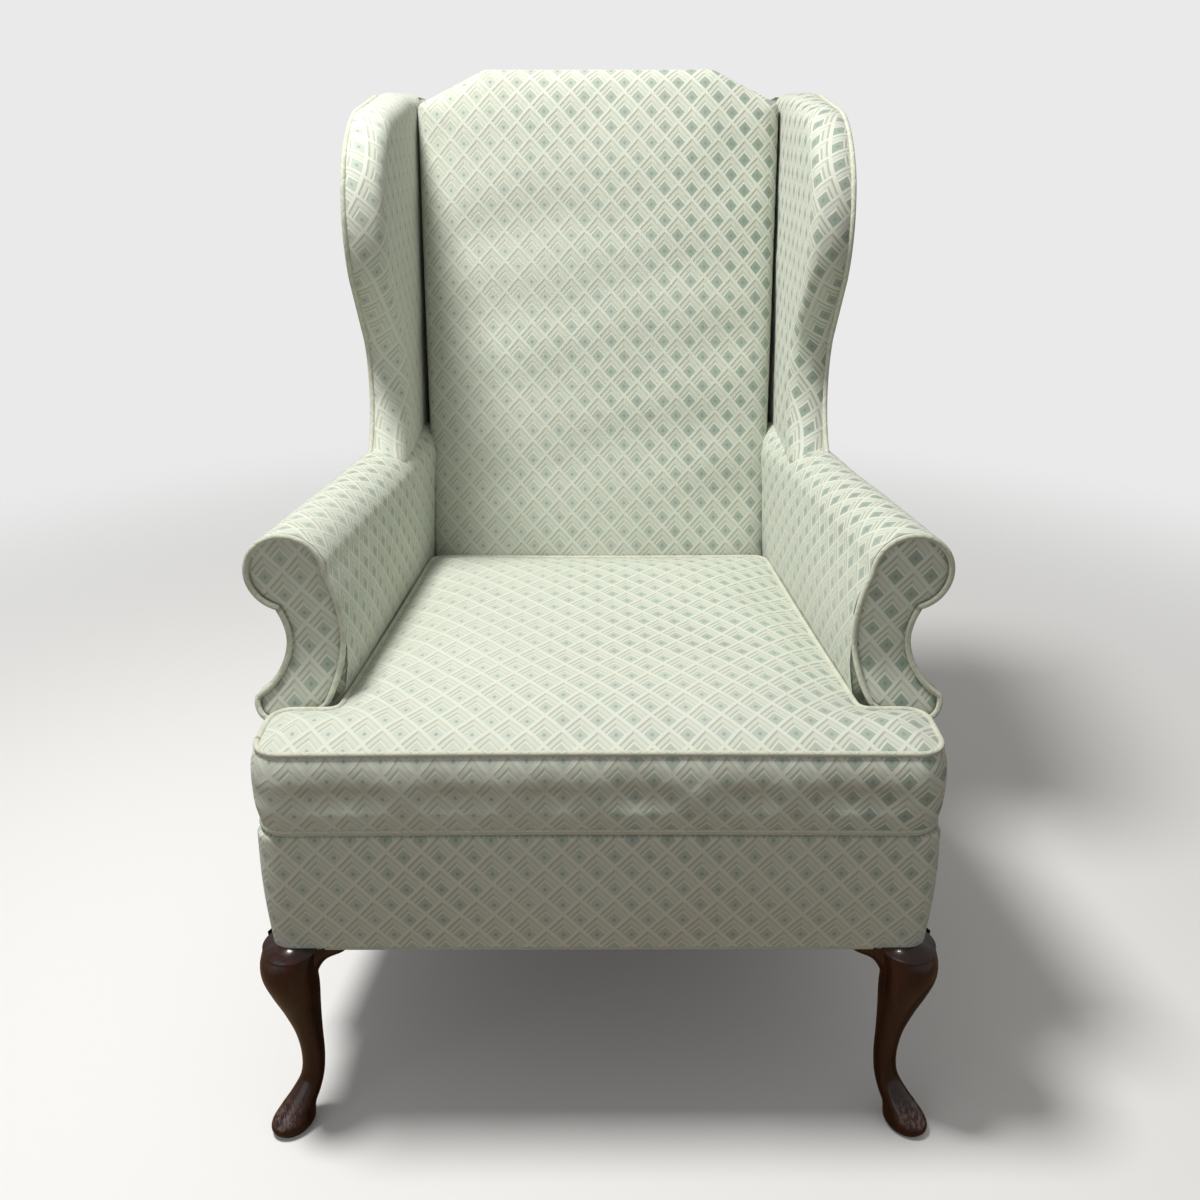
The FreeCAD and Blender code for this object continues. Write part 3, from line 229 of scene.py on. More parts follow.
def inside_outline(points, outline):
    x, y = points[:, 0], points[:, 1]
    inside = np.zeros(len(points), bool)
    for (x0, y0), (x1, y1) in zip(outline, np.roll(outline, -1, axis=0)):
        crosses = (y0 > y) != (y1 > y)
        with np.errstate(divide="ignore", invalid="ignore"):
            at = (x1 - x0) * (y - y0) / (y1 - y0) + x0
        inside ^= crosses & (x < at)
    return inside


def fill_outline(outline, spacing, rings):
    """Points and triangles that fill an outline, finer in rings along its edge."""
    points = [outline]
    a, b = np.roll(outline, 1, axis=0), np.roll(outline, -1, axis=0)
    along = b - a
    along /= np.maximum(np.linalg.norm(along, axis=1), 1e-9)[:, None]
    area = 0.5 * np.sum(outline[:, 0] * b[:, 1] - b[:, 0] * outline[:, 1])
    inward = np.stack([-along[:, 1], along[:, 0]], -1) * (1.0 if area > 0 else -1.0)
    for depth in rings:
        ring = outline + inward * depth
        gap, _ = edge_distance(ring, outline)
        good = inside_outline(ring, outline) & (gap > depth * 0.93)
        points.append(ring[good])
    low, high = outline.min(0), outline.max(0)
    xs = np.arange(low[0], high[0], spacing)
    ys = np.arange(low[1], high[1], spacing * 0.866)
    gx, gy = np.meshgrid(xs, ys)
    gx = gx + (np.arange(len(ys)) % 2)[:, None] * spacing * 0.5
    grid = np.stack([gx.ravel(), gy.ravel()], -1)
    grid = grid[inside_outline(grid, outline)]
    gap, _ = edge_distance(grid, outline)
    points.append(grid[gap > (rings[-1] if rings else 0.0) + spacing * 0.55])
    points = np.vstack(points)
    count = len(outline)
    border = [(i, (i + 1) % count) for i in range(count)]
    result = delaunay_2d_cdt([tuple(p) for p in points], border, [], 1, 1e-5)
    flat = np.array([tuple(v) for v in result[0]])
    return flat, [tuple(f) for f in result[2]]


scene = bpy.context.scene


def nearest_points(places, points):
    """For each point, the index of the place nearest to it."""
    return np.array([int(np.argmin(((places - point) ** 2).sum(1))) for point in points])


def evened(away, times):
    """Normals round a closed line, averaged with their neighbours."""
    for _ in range(times):
        away = (np.roll(away, 1, 0) + away * 2 + np.roll(away, -1, 0)) / 4
    return away / np.linalg.norm(away, axis=1)[:, None]


def join_rings(faces, previous, current):
    """Add the faces between two closed rings of points."""
    count = len(current)
    for i in range(count):
        j = (i + 1) % count
        faces.append((previous[i], previous[j], current[j], current[i]))


def strips(rows, cols, closed):
    """The faces of a surface through rows of points."""
    faces = []
    for r in range(rows - 1):
        for c in range(cols if closed else cols - 1):
            d = (c + 1) % cols
            faces.append((r * cols + c, r * cols + d, (r + 1) * cols + d, (r + 1) * cols + c))
    return faces


def make(name, verts, faces, uvs, slot, nodes=(), body="chair", toward=None, tone=0.5, regions=None):
    """One mesh of the object, with its cloth layout in metres and its painted sheen, a value that draws its
    lozenges paler or darker as if lit.
    """
    mesh = bpy.data.meshes.new(name)
    verts = metres(verts)
    mesh.from_pydata([tuple(v) for v in verts], [], [tuple(f) for f in faces])
    mesh.update()
    obj = bpy.data.objects.new(name, mesh)
    scene.collection.objects.link(obj)
    if toward is not None:
        away = sum(((p.normal * p.area).dot(toward) for p in mesh.polygons), 0.0)
        if away < 0:
            mesh.flip_normals()
    if uvs is not None:
        corner = np.zeros(len(mesh.loops), int)
        mesh.loops.foreach_get("vertex_index", corner)
        layer = mesh.uv_layers.new(name="cloth")
        if regions is None:
            places = np.asarray(uvs, float)[corner]
        else:
            owner = np.repeat(np.asarray(regions), [len(f) for f in faces])
            places = np.stack(uvs)[owner, corner]
        layer.data.foreach_set("uv", (places * 0.001).ravel())
    mesh.polygons.foreach_set("use_smooth", [True] * len(mesh.polygons))
    # Painted sheen: a value per point that draws the lozenges pale or dark sage, standing in for the light
    # the satin lozenges catch.
    sheen_layer = mesh.attributes.new("tone", "FLOAT", "POINT")
    values = tone(verts) if callable(tone) else np.full(len(verts), float(tone))
    sheen_layer.data.foreach_set("value", values)
    if nodes:
        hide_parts(*nodes)
    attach(obj, body)
    obj.data.materials.append(MATERIALS[slot])
    return obj


def panel(name, outline, profile, place, spacing=7.0, rings=(1.5, 3.5, 6.0, 9.0, 13.0, 18.0, 24.0),
          sides=(), push=(1.0, 1.0), **rest):
    """A stuffed panel: its height follows the distance from its edge, and sides turn back."""
    outline = resample(outline, spacing * 0.7)
    flat, faces = fill_outline(outline, spacing, rings)
    gap, away = edge_distance(flat, outline)
    out = profile(gap)
    far = np.linspace(0.0, 40.0, 161)
    heights = profile(far)
    grown = np.concatenate([[0.0], np.cumsum(np.hypot(np.diff(far), np.diff(heights)))])
    extra = (grown[-1] - np.interp(gap, far, grown)) - (far[-1] - np.minimum(gap, far[-1]))
    laid = away * np.array(push)
    laid /= np.maximum(np.linalg.norm(laid, axis=1), 1e-9)[:, None]
    uvs = flat + laid * np.maximum(extra, 0.0)[:, None]
    verts = place(flat[:, 0], flat[:, 1], out)
    count = len(outline)
    if sides:
        order = nearest_points(flat, outline)
        smooth = evened(edge_distance(outline, outline)[1], 2)
        laid = smooth * np.array(push)
        laid /= np.linalg.norm(laid, axis=1)[:, None]
        previous = order
        base = len(verts)
        last_out = float(profile(np.array([0.0]))[0])
        run = 0.0
        spread = 0.0
        for shift, depth in sides:
            run += math.hypot(shift - spread, depth - last_out)
            spread, last_out = shift, depth
            ring = outline + smooth * shift
            verts = np.vstack([verts, place(ring[:, 0], ring[:, 1], np.full(count, depth))])
            uvs = np.vstack([uvs, uvs[order] + laid * run])
            current = np.arange(base, base + count)
            join_rings(faces, previous, current)
            previous = current
            base += count
    return make(name, verts, faces, uvs, **rest)


def grid(name, verts, uvs, closed=False, **rest):
    """A surface through rows of points."""
    rows, cols = verts.shape[:2]
    return make(name, verts.reshape(-1, 3), strips(rows, cols, closed), uvs.reshape(-1, 2), **rest)


def tube(name, lines, radius=WELT, sides=12, **rest):
    """Piping along lines; a line is (points, closed)."""
    verts, faces, uvs = [], [], []
    for line, closed in lines:
        line = resample(np.asarray(line, float), 4.0, closed)
        count = len(line)
        if closed:
            ahead = np.roll(line, -1, 0) - np.roll(line, 1, 0)
        else:
            ahead = np.gradient(line, axis=0)
        ahead /= np.linalg.norm(ahead, axis=1)[:, None]
        up = np.array([0.0, 0.0, 1.0])
        if abs(ahead[0].dot(up)) > 0.9:
            up = np.array([0.0, 1.0, 0.0])
        side = np.cross(ahead[0], up)
        side /= np.linalg.norm(side)
        frames = []
        for k in range(count):
            side = side - ahead[k] * side.dot(ahead[k])
            side /= np.linalg.norm(side)
            frames.append(side)
        twist = 0.0
        if closed:
            end = frames[-1] - ahead[0] * frames[-1].dot(ahead[0])
            end /= np.linalg.norm(end)
            twist = math.atan2(np.cross(frames[0], end).dot(ahead[0]), frames[0].dot(end))
        base = len(verts)
        run = lengths(line)
        for k in range(count):
            other = np.cross(ahead[k], frames[k])
            turn_back = -twist * k / count
            for s in range(sides):
                a = 2 * math.pi * s / sides + turn_back
                verts.append(line[k] + radius * (frames[k] * math.cos(a) + other * math.sin(a)))
                uvs.append((run[k], radius * a))
        for k in range(count if closed else count - 1):
            m = (k + 1) % count
            for s in range(sides):
                t = (s + 1) % sides
                faces.append((base + k * sides + s, base + k * sides + t,
                              base + m * sides + t, base + m * sides + s))
        if not closed:
            faces.append(tuple(base + s for s in range(sides))[::-1])
            faces.append(tuple(base + (count - 1) * sides + s for s in range(sides)))
    return make(name, np.array(verts), faces, np.array(uvs), **rest)


def mirror(points):
    return np.asarray(points, float) * np.array([-1.0, 1.0, 1.0])


# Materials


class Graph:
    """A small helper that builds one material's node tree."""

    def __init__(self, name):
        self.material = bpy.data.materials.new(name)
        self.material.use_nodes = True
        self.tree = self.material.node_tree
        self.tree.nodes.clear()
        self.output = self.add("ShaderNodeOutputMaterial")

    def add(self, kind, settings=None, **inputs):
        node = self.tree.nodes.new(kind)
        for key, value in (settings or {}).items():
            setattr(node, key, value)
        for key, value in inputs.items():
            numbered = key[0] == "i" and key[1:].isdigit()
            self.put(node.inputs[int(key[1:]) if numbered else key.replace("_", " ")], value)
        return node

    def put(self, socket, value):
        if isinstance(value, bpy.types.NodeSocket):
            self.tree.links.new(value, socket)
        else:
            socket.default_value = value

    def math(self, kind, a, b=0.0, c=None):
        node = self.add("ShaderNodeMath", {"operation": kind}, i0=a, i1=b)
        if c is not None:
            self.put(node.inputs[2], c)
        return node.outputs[0]

    def times(self, a, b):
        return self.math("MULTIPLY", a, b)

    def plus(self, a, b):
        return self.math("ADD", a, b)

    def minus(self, a, b):
        return self.math("SUBTRACT", a, b)

    def place(self):
        return self.add("ShaderNodeTexCoord").outputs["Object"]

    def parts(self, vector):
        node = self.add("ShaderNodeSeparateXYZ")
        self.put(node.inputs[0], vector)
        return node.outputs

    def stretched(self, vector, scale, turns=(0.0, 0.0, 0.0)):
        node = self.add("ShaderNodeMapping")
        self.put(node.inputs["Vector"], vector)
        node.inputs["Rotation"].default_value = turns
        node.inputs["Scale"].default_value = scale
        return node.outputs[0]

    def mix(self, share, a, b):
        node = self.tree.nodes.new("ShaderNodeMix")
        node.data_type = "RGBA"
        for socket, value in ((node.inputs[0], share), (node.inputs[6], a), (node.inputs[7], b)):
            if isinstance(value, tuple) and len(value) == 3:
                value = value + (1.0,)
            self.put(socket, value)
        return node.outputs[2]

    def blend(self, share, a, b):
        """A number between two numbers."""
        return self.plus(self.times(self.minus(1.0, share), a), self.times(share, b))

    def ramp(self, value, low, high):
        node = self.add("ShaderNodeMapRange", {"interpolation_type": "SMOOTHSTEP", "clamp": True})
        self.put(node.inputs["Value"], value)
        self.put(node.inputs["From Min"], low)
        self.put(node.inputs["From Max"], high)
        self.put(node.inputs["To Min"], 0.0)
        self.put(node.inputs["To Max"], 1.0)
        return node.outputs["Result"]

    def noise(self, vector, scale, detail=2.0, roughness=0.5):
        node = self.add("ShaderNodeTexNoise", {"noise_dimensions": "3D"})
        self.put(node.inputs["Vector"], vector)
        node.inputs["Scale"].default_value = scale
        node.inputs["Detail"].default_value = detail
        node.inputs["Roughness"].default_value = roughness
        return node.outputs["Fac"]

    def finish(self, color, roughness, height=None, distance=0.0003, strength=1.0, fade=None, **more):
        shader = self.add("ShaderNodeBsdfPrincipled")
        self.put(shader.inputs["Base Color"], color)
        self.put(shader.inputs["Roughness"], roughness)
        for key, value in more.items():
            self.put(shader.inputs[key.replace("_", " ")], value)
        if height is not None:
            bump = self.add("ShaderNodeBump")
            bump.inputs["Strength"].default_value = strength
            bump.inputs["Distance"].default_value = distance
            self.put(bump.inputs["Height"], height)
            self.put(shader.inputs["Normal"], bump.outputs["Normal"])
        surface = shader.outputs["BSDF"]
        if fade is not None:
            mixed = self.add("ShaderNodeMixShader", i0=fade, i1=surface)
            self.put(mixed.inputs[2], self.add("ShaderNodeBsdfTransparent").outputs[0])
            surface = mixed.outputs[0]
        self.put(self.output.inputs["Surface"], surface)
        return self.material


def rgb(red, green, blue):
    """A colour from display values of 0 to 255."""
    values = []
    for value in (red, green, blue):
        value = value / 255.0
        values.append(value / 12.92 if value < 0.04045 else ((value + 0.055) / 1.055) ** 2.4)
    return tuple(values)


def fabric(name, piping=False):
    """Jacquard with a lattice of lozenges, cream lines and ribbed bands."""
    g = Graph(name)
    uv = g.add("ShaderNodeUVMap", {"uv_map": "cloth"}).outputs[0]
    place = g.place()
    drift = g.add("ShaderNodeVectorMath", {"operation": "MULTIPLY_ADD"})
    wander = g.add("ShaderNodeTexNoise", {"noise_dimensions": "3D"})
    g.put(wander.inputs["Vector"], uv)
    wander.inputs["Scale"].default_value = 30.0
    g.put(drift.inputs[0], wander.outputs["Color"])
    drift.inputs[1].default_value = (0.0016, 0.0016, 0.0)
    g.put(drift.inputs[2], uv)
    split = g.parts(drift.outputs[0])
    p = g.math("DIVIDE", split[0], 0.0349)
    q = g.math("DIVIDE", split[1], 0.0388)
    rising = g.math("FRACT", g.plus(g.plus(q, p), 100.0))
    falling = g.math("FRACT", g.plus(g.minus(q, p), 100.0))
    m = g.math("MAXIMUM", rising, falling)
    slash = g.ramp(g.minus(falling, rising), -0.01, 0.01)
    # Painted sheen: the per-point value from the mesh plus random patches. Lozenges are drawn pale where it
    # is low, as if catching the light, and dark sage where it is high.
    tone = g.add("ShaderNodeAttribute", {"attribute_name": "tone"}).outputs["Fac"]
    patch = g.noise(place, 7.0, 2.0)
    tone = g.plus(tone, g.times(g.minus(patch, 0.5), 0.7))
    tone = g.ramp(tone, 0.0, 1.0)

    def window(low, high, soft=0.012):
        return g.times(g.ramp(m, low - soft, low + soft),
                      g.minus(1.0, g.ramp(m, high - soft, high + soft)))

    mottle = g.noise(uv, 900.0, 3.0, 0.7)
    fine = g.noise(uv, 2600.0, 2.0, 0.6)
    lozenge = g.minus(1.0, g.ramp(m, 0.445, 0.475))
    line = window(0.47, 0.55)
    rib_a = window(0.55, 0.63)
    rib_b = window(0.76, 0.84)
    border = g.ramp(m, 0.83, 0.86)
    dot_x = g.minus(rising, 0.23)
    dot_y = g.minus(falling, 0.23)
    dot = g.math("SQRT", g.plus(g.times(dot_x, dot_x), g.times(dot_y, dot_y)))
    dot = g.minus(1.0, g.ramp(dot, 0.05, 0.10))

    cream = g.mix(mottle, rgb(190, 195, 180), rgb(225, 230, 217))
    sage = g.mix(mottle, rgb(124, 141, 129), rgb(166, 180, 166))
    # Pale lozenge colour: the painted highlight of the sage lozenges.
    painted_lit_lozenge = g.mix(mottle, rgb(188, 197, 184), rgb(219, 226, 214))
    loz_colour = g.mix(tone, painted_lit_lozenge, sage)
    loz_colour = g.mix(g.times(dot, 0.5), loz_colour, rgb(122, 134, 120))
    color = g.mix(lozenge, cream, loz_colour)
    ribs = g.plus(rib_a, rib_b)
    # Painted sheen on the ribs: ribs along one direction of the lattice are drawn much stronger than along
    # the other, and weaker where the lozenges are drawn pale.
    ribs = g.times(ribs, g.blend(slash, 0.22, 0.6))
    ribs = g.times(ribs, g.blend(tone, 0.7, 1.0))
    color = g.mix(ribs, color, g.mix(mottle, rgb(136, 138, 116), rgb(166, 168, 146)))
    bright = g.math("MAXIMUM", line, border)
    thread = g.mix(fine, rgb(208, 213, 200), rgb(238, 241, 231))
    color = g.mix(g.times(bright, 0.5), color, thread)
    speck = g.ramp(fine, 0.60, 0.72)
    color = g.mix(g.times(speck, 0.3), color, rgb(236, 238, 226))
    soil = g.noise(place, 3.0, 3.0)
    color = g.mix(g.times(g.ramp(soil, 0.5, 0.85), 0.18), color, rgb(176, 168, 140))
    if piping:
        color = g.mix(0.65, color, g.mix(mottle, rgb(190, 190, 168), rgb(228, 230, 212)))

    thread_u = g.math("SINE", g.times(split[0], 2 * math.pi / 0.0011))
    thread_v = g.math("SINE", g.times(split[1], 2 * math.pi / 0.0009))
    weave = g.times(g.times(thread_u, thread_v), 0.25)
    height = g.plus(weave, g.times(mottle, 0.5))
    height = g.plus(height, g.times(bright, 0.9))
    height = g.minus(height, g.times(ribs, 0.8))
    return g.finish(color, 0.88, height, 0.0005, 0.8, Sheen_Weight=0.25, Sheen_Roughness=0.5,
                    Specular_IOR_Level=0.25)


def plain_cloth(name, dark, light, pitch, bump=0.0004):
    """A plain weave in two tones."""
    g = Graph(name)
    uv = g.place()
    split = g.parts(uv)
    warp = g.math("SINE", g.times(split[0], 2 * math.pi / pitch))
    rise = g.plus(split[1], split[2])
    weft = g.math("SINE", g.times(rise, 2 * math.pi / pitch))
    check = g.times(warp, weft)
    fleck = g.noise(uv, 400.0, 4.0, 0.7)
    share = g.plus(g.times(check, 0.25), fleck)
    color = g.mix(g.ramp(share, 0.2, 0.8), rgb(*dark), rgb(*light))
    return g.finish(color, 0.92, g.plus(check, fleck), bump, 0.7, Specular_IOR_Level=0.2)


def show_wood():
    """Dark mahogany under a glossy finish, with pale, rougher streaks on the upward faces of the feet."""
    g = Graph("show_wood")
    place = g.place()
    stretch = g.stretched(place, (60.0, 60.0, 5.0))
    grain = g.noise(stretch, 3.0, 6.0, 0.65)
    pores = g.noise(stretch, 22.0, 3.0, 0.6)
    cloud = g.noise(place, 14.0, 3.0)
    share = g.plus(g.times(grain, 0.7), g.times(cloud, 0.4))
    color = g.mix(g.ramp(share, 0.35, 0.75), rgb(22, 5, 3), rgb(66, 26, 14))
    color = g.mix(g.times(g.ramp(pores, 0.58, 0.7), 0.6), color, rgb(9, 2, 1))
    # Pale streaks, rougher than the gloss, on faces that look upward within a few centimetres of the floor,
    # that is on the tops of the feet.
    low = g.minus(1.0, g.ramp(g.parts(place)[2], 0.012, 0.05))
    normal = g.add("ShaderNodeNewGeometry").outputs["Normal"]
    facing_up = g.ramp(g.parts(normal)[2], 0.2, 0.75)
    streak_space = g.stretched(place, (220.0, 40.0, 120.0), (0.4, 0.3, 0.8))
    marks = g.ramp(g.noise(streak_space, 2.0, 4.0, 0.7), 0.46, 0.62)
    foot_top_streaks = g.times(g.times(low, facing_up), marks)
    color = g.mix(g.times(foot_top_streaks, 0.75), color, rgb(150, 122, 116))
    rough = g.blend(foot_top_streaks, g.blend(cloud, 0.18, 0.34), 0.6)
    height = g.minus(g.times(grain, 0.3), g.times(pores, 0.3))
    return g.finish(color, rough, height, 0.0002, 0.5, Coat_Weight=0.6, Coat_Roughness=0.12)


def frame_wood():
    """Planed beech with open grain."""
    g = Graph("frame_wood")
    place = g.place()
    grain = g.noise(g.stretched(place, (14.0, 40.0, 40.0)), 3.0, 6.0, 0.6)
    color = g.mix(g.ramp(grain, 0.3, 0.7), rgb(178, 138, 92), rgb(214, 180, 134))
    return g.finish(color, g.blend(grain, 0.5, 0.7), grain, 0.0003, 0.4)


def metal(name, dark, light, rough):
    """Metal with faint scratches."""
    g = Graph(name)
    place = g.place()
    scratch = g.noise(place, 320.0, 4.0, 0.7)
    color = g.mix(scratch, rgb(*dark), rgb(*light))
    return g.finish(color, g.blend(scratch, rough, rough + 0.2), scratch, 0.0001, 0.3, Metallic=1.0)


def wadding(name):
    """Off-white felted wadding."""
    g = Graph(name)
    place = g.place()
    fluff = g.noise(place, 120.0, 6.0, 0.8)
    color = g.mix(fluff, rgb(206, 200, 184), rgb(240, 237, 228))
    return g.finish(color, 0.95, fluff, 0.002, 0.6)


MATERIALS = {
    "cover": fabric("cover"),
    "piping": fabric("piping", piping=True),
    "show_wood": show_wood(),
    "frame_wood": frame_wood(),
    "padding": wadding("padding"),
    "burlap": plain_cloth("burlap", (122, 92, 54), (178, 146, 96), 0.0022, 0.0008),
    "deck_cloth": plain_cloth("deck_cloth", (176, 166, 140), (208, 199, 174), 0.001),
    "black_cloth": plain_cloth("black_cloth", (14, 14, 15), (36, 36, 38), 0.0009),
    "steel": metal("steel", (92, 94, 98), (150, 152, 156), 0.35),
    "zip_tape": plain_cloth("zip_tape", (196, 190, 170), (222, 217, 200), 0.0008),
    "zip_metal": metal("zip_metal", (140, 116, 70), (196, 168, 110), 0.3),
}

HIDDEN_WOOD = ("front_rail", "rear_rail", "side_rail", "back_post", "crest_rail", "back_rail",
               "arm_stump", "arm_rail", "arm_tack_rail", "wing_frame", "corner_blocks")
for name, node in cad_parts.items():
    if name.startswith(HIDDEN_WOOD):
        chosen = "frame_wood"
    elif name in ("seat_springs", "spring_clips", "corner_screws", "leg_bolts"):
        chosen = "steel"
    elif name.startswith(("rear_leg", "knee_blocks", "front_leg")):
        chosen = "show_wood"
    elif name == "cushion_zip":
        chosen = "zip_tape"
    elif name == "zip_slider":
        chosen = "zip_metal"
    else:
        continue
    node.data.materials.clear()
    node.data.materials.append(MATERIALS[chosen])


def cloth_sheet(obj):
    """Read a cover's cloth layout into an array; nothing is done with it."""
    places = np.zeros(len(obj.data.loops) * 2)
    obj.data.uv_layers["cloth"].data.foreach_get("uv", places)
    places = places.reshape(-1, 2)


def ripple(a, b, size, amount, seed=0.0):
    """Gentle unevenness of stuffed cloth."""
    wave = (np.sin(a / size + seed) * np.cos(b / size * 0.83 - seed * 1.7)
            + 0.6 * np.sin(a / size * 1.9 + b / size * 1.3 + seed * 2.3)
            + 0.4 * np.cos(b / size * 2.7 - a / size * 0.6 + seed * 0.9))
    return amount * wave / 2.0


def settle(obj, held, pressure):
    """Cloth simulation: the cover swells under its stuffing, held where it is sewn or tacked."""
    mesh = obj.data
    count = len(mesh.vertices)
    before = np.zeros(count * 3)
    mesh.vertices.foreach_get("co", before)
    group = obj.vertex_groups.new(name="sewn")
    group.add([int(i) for i in held], 1.0, "REPLACE")
    cloth = obj.modifiers.new("cloth", "CLOTH")
    cloth.settings.quality = 5
    cloth.settings.mass = 0.3
    cloth.settings.tension_stiffness = 30.0
    cloth.settings.compression_stiffness = 20.0
    cloth.settings.shear_stiffness = 10.0
    cloth.settings.bending_stiffness = 1.0
    cloth.settings.vertex_group_mass = "sewn"
    cloth.settings.use_pressure = True
    cloth.settings.uniform_pressure_force = pressure
    cloth.settings.shrink_min = CLOTH_SHRINK
    cloth.settings.effector_weights.gravity = 0.0
    cloth.collision_settings.use_collision = False
    cloth.point_cache.frame_start = 1
    cloth.point_cache.frame_end = CLOTH_FRAMES
    for number in range(1, CLOTH_FRAMES + 1):
        scene.frame_set(number)
    settled = obj.evaluated_get(bpy.context.evaluated_depsgraph_get())
    after = np.zeros(count * 3)
    settled.to_mesh().vertices.foreach_get("co", after)
    settled.to_mesh_clear()
    obj.modifiers.remove(cloth)
    scene.frame_set(1)
    move = (after - before).reshape(-1, 3)
    far = np.linalg.norm(move, axis=1)
    move *= (np.minimum(far, CLOTH_REACH) / np.maximum(far, 1e-9))[:, None]
    ends = np.zeros(len(mesh.edges) * 2, int)
    mesh.edges.foreach_get("vertices", ends)
    first, second = ends.reshape(-1, 2).T
    degree = np.bincount(ends, minlength=count)[:, None]
    for _ in range(12):
        around = np.zeros((count, 3))
        np.add.at(around, first, move[second])
        np.add.at(around, second, move[first])
        move = (move + around / degree) / 2.0
        move[held] = 0.0
    mesh.vertices.foreach_set("co", (before.reshape(-1, 3) + move).ravel())
    mesh.update()


# Inside back

def back_place(across, up, out):
    return back_point(across, up, out + ripple(across, up, 46.0, 1.4, 0.7))


low = back_up(DECK, 0.0)
back_corners = [(-228.0, low), (228.0, low), (239.0, 608.0), (150.0, BACK_LENGTH), (-150.0, BACK_LENGTH),
                (-239.0, 608.0)]
# Painted sheen on the inside back: lozenges drawn paler on the left and lower down, darker sage to the right
# and towards the top.
back = panel(
    "inside_back", fillet(back_corners, [4.0, 4.0, 9.0, 18.0, 18.0, 9.0]),
    smooth_line([0, 3, 10, 24, 70, 130], [-22, -10, -3, 3, 9, 12]), back_place,
    sides=((0.0, -30.0), (0.0, -45.0), (0.0, -60.0), (-1.0, -80.0), (-2.0, -98.0)),
    slot="cover", nodes=("inside_back_cover", "back_pad"), toward=(0.0, -1.0, 0.3),
    tone=lambda v: np.clip(0.42 + v[:, 0] * 1.5 + (v[:, 2] - 0.75) * 0.35, 0.0, 1.0))
places = np.array([tuple(v.co) for v in back.data.vertices]) * 1000.0 - np.array([0.0, FRONT, 0.0])
forward = (SEAT_Y - places[:, 1]) * math.cos(LEAN) + (places[:, 2] - SEAT_Z) * math.sin(LEAN)
settle(back, np.where((forward < -9.0) | (places[:, 2] < 440.0))[0], 0.05)


# Arms

def arm_line(station, low, part):
    """Section across the right arm as rows of (x, z)."""
    flush = back_y(474.0, COVER_REAR)
    share = (station - ARM_BODY) / (flush - ARM_BODY)
    inside = between(INSIDE_FRONT, INSIDE_REAR, (station - ARM_BODY) / (SEAT_Y - ARM_BODY))
    belly = inside - 8.0 * (1.0 - share)
    radius = between(SCROLL_R, SCROLL_R_REAR, share)
    cx = between(SCROLL_X, WING_OUT - SCROLL_R_REAR, share)
    cz = SCROLL_Z - SCROLL_DROP * share
    nx, nz = SCROLL_X + SCROLL_R * math.cos(UNDER), SCROLL_Z - SCROLL_R * math.sin(UNDER)
    notch = (between(nx, WING_OUT, share), between(nz, nz + 4.0, share))
    through = (between(SCROLL_X + SCROLL_R * math.cos(UNDER / 2), WING_OUT + 0.5, share),
               between(SCROLL_Z - SCROLL_R * math.sin(UNDER / 2), 588.0, share))
    diagonal = radius * math.sqrt(0.5)
    if part == "inside":
        steps = [((inside, 470.0),), ((belly, 550.0), (cx - radius, cz)),
                 ((cx - diagonal, cz + diagonal), (cx, cz + radius)),
                 ((cx + diagonal, cz + diagonal), (cx + radius, cz)), (through, notch)]
        return trace((inside, low), steps, (14, 22, 10, 10, 9))
    waist = (between(WAIST_X, 288.0, share), 535.0)
    foot = between(FOOT_X, WING_OUT, share)
    return trace(notch, [(waist, (foot, 474.0)), ((foot, low),)], (16, 30))


def arm_surface(part, low, rear_out, stations):
    """Rows of points along the arm and their cloth layout."""
    front = arm_line(ARM_BODY, low, part)
    columns = []
    for share in np.linspace(0.0, 1.0, stations):
        column = []
        for i, (x, z) in enumerate(front):
            end = back_y(z, rear_out)
            y = between(ARM_BODY - 5.0, end, share)
            column.append((i, y))
        lines = {}
        points = []
        for i, y in column:
            key = round(y, 1)
            if key not in lines:
                lines[key] = arm_line(max(y, ARM_BODY), low, part)
            x, z = lines[key][i]
            points.append((x, y, z))
        columns.append(points)
    verts = np.array(columns)
    layout = np.stack([verts[:, :, 1], np.broadcast_to(lengths(front)[None, :], verts.shape[:2])], -1)
    return verts, layout


def face_y(z):
    """The arm front panel is hollow at its waist and curls forward towards its foot."""
    hollow = 3.5 * np.exp(-((z - 535.0) / 26.0) ** 2)
    return 120.0 + hollow - 20.0 * np.maximum(0.0, (540.0 - z) / 81.0) ** 1.8


def panel_line(inset):
    r = SCROLL_R - inset
    d = r * math.sqrt(0.5)
    start = (SCROLL_X + r * math.cos(UNDER), SCROLL_Z - r * math.sin(UNDER))
    steps = [
        ((SCROLL_X + r * math.cos(UNDER / 2), SCROLL_Z - r * math.sin(UNDER / 2)),
         (SCROLL_X + r, SCROLL_Z)),
        ((SCROLL_X + d, SCROLL_Z + d), (SCROLL_X, SCROLL_Z + r)),
        ((SCROLL_X - d, SCROLL_Z + d), (SCROLL_X - r, SCROLL_Z)),
        ((259.0 + inset, 550.0), (279.6 + inset, 474.0)),
        ((294.9 + 0.7 * inset, 463.5 + 0.7 * inset), (324.6, 459.0 + inset)),
        ((353.4 - inset, 466.5 + inset), (354.3 - inset, 481.5)),
        ((WAIST_X - inset, 535.0), start),
    ]
    return trace(start, steps, (10, 14, 14, 28, 14, 14, 20))[:-1]


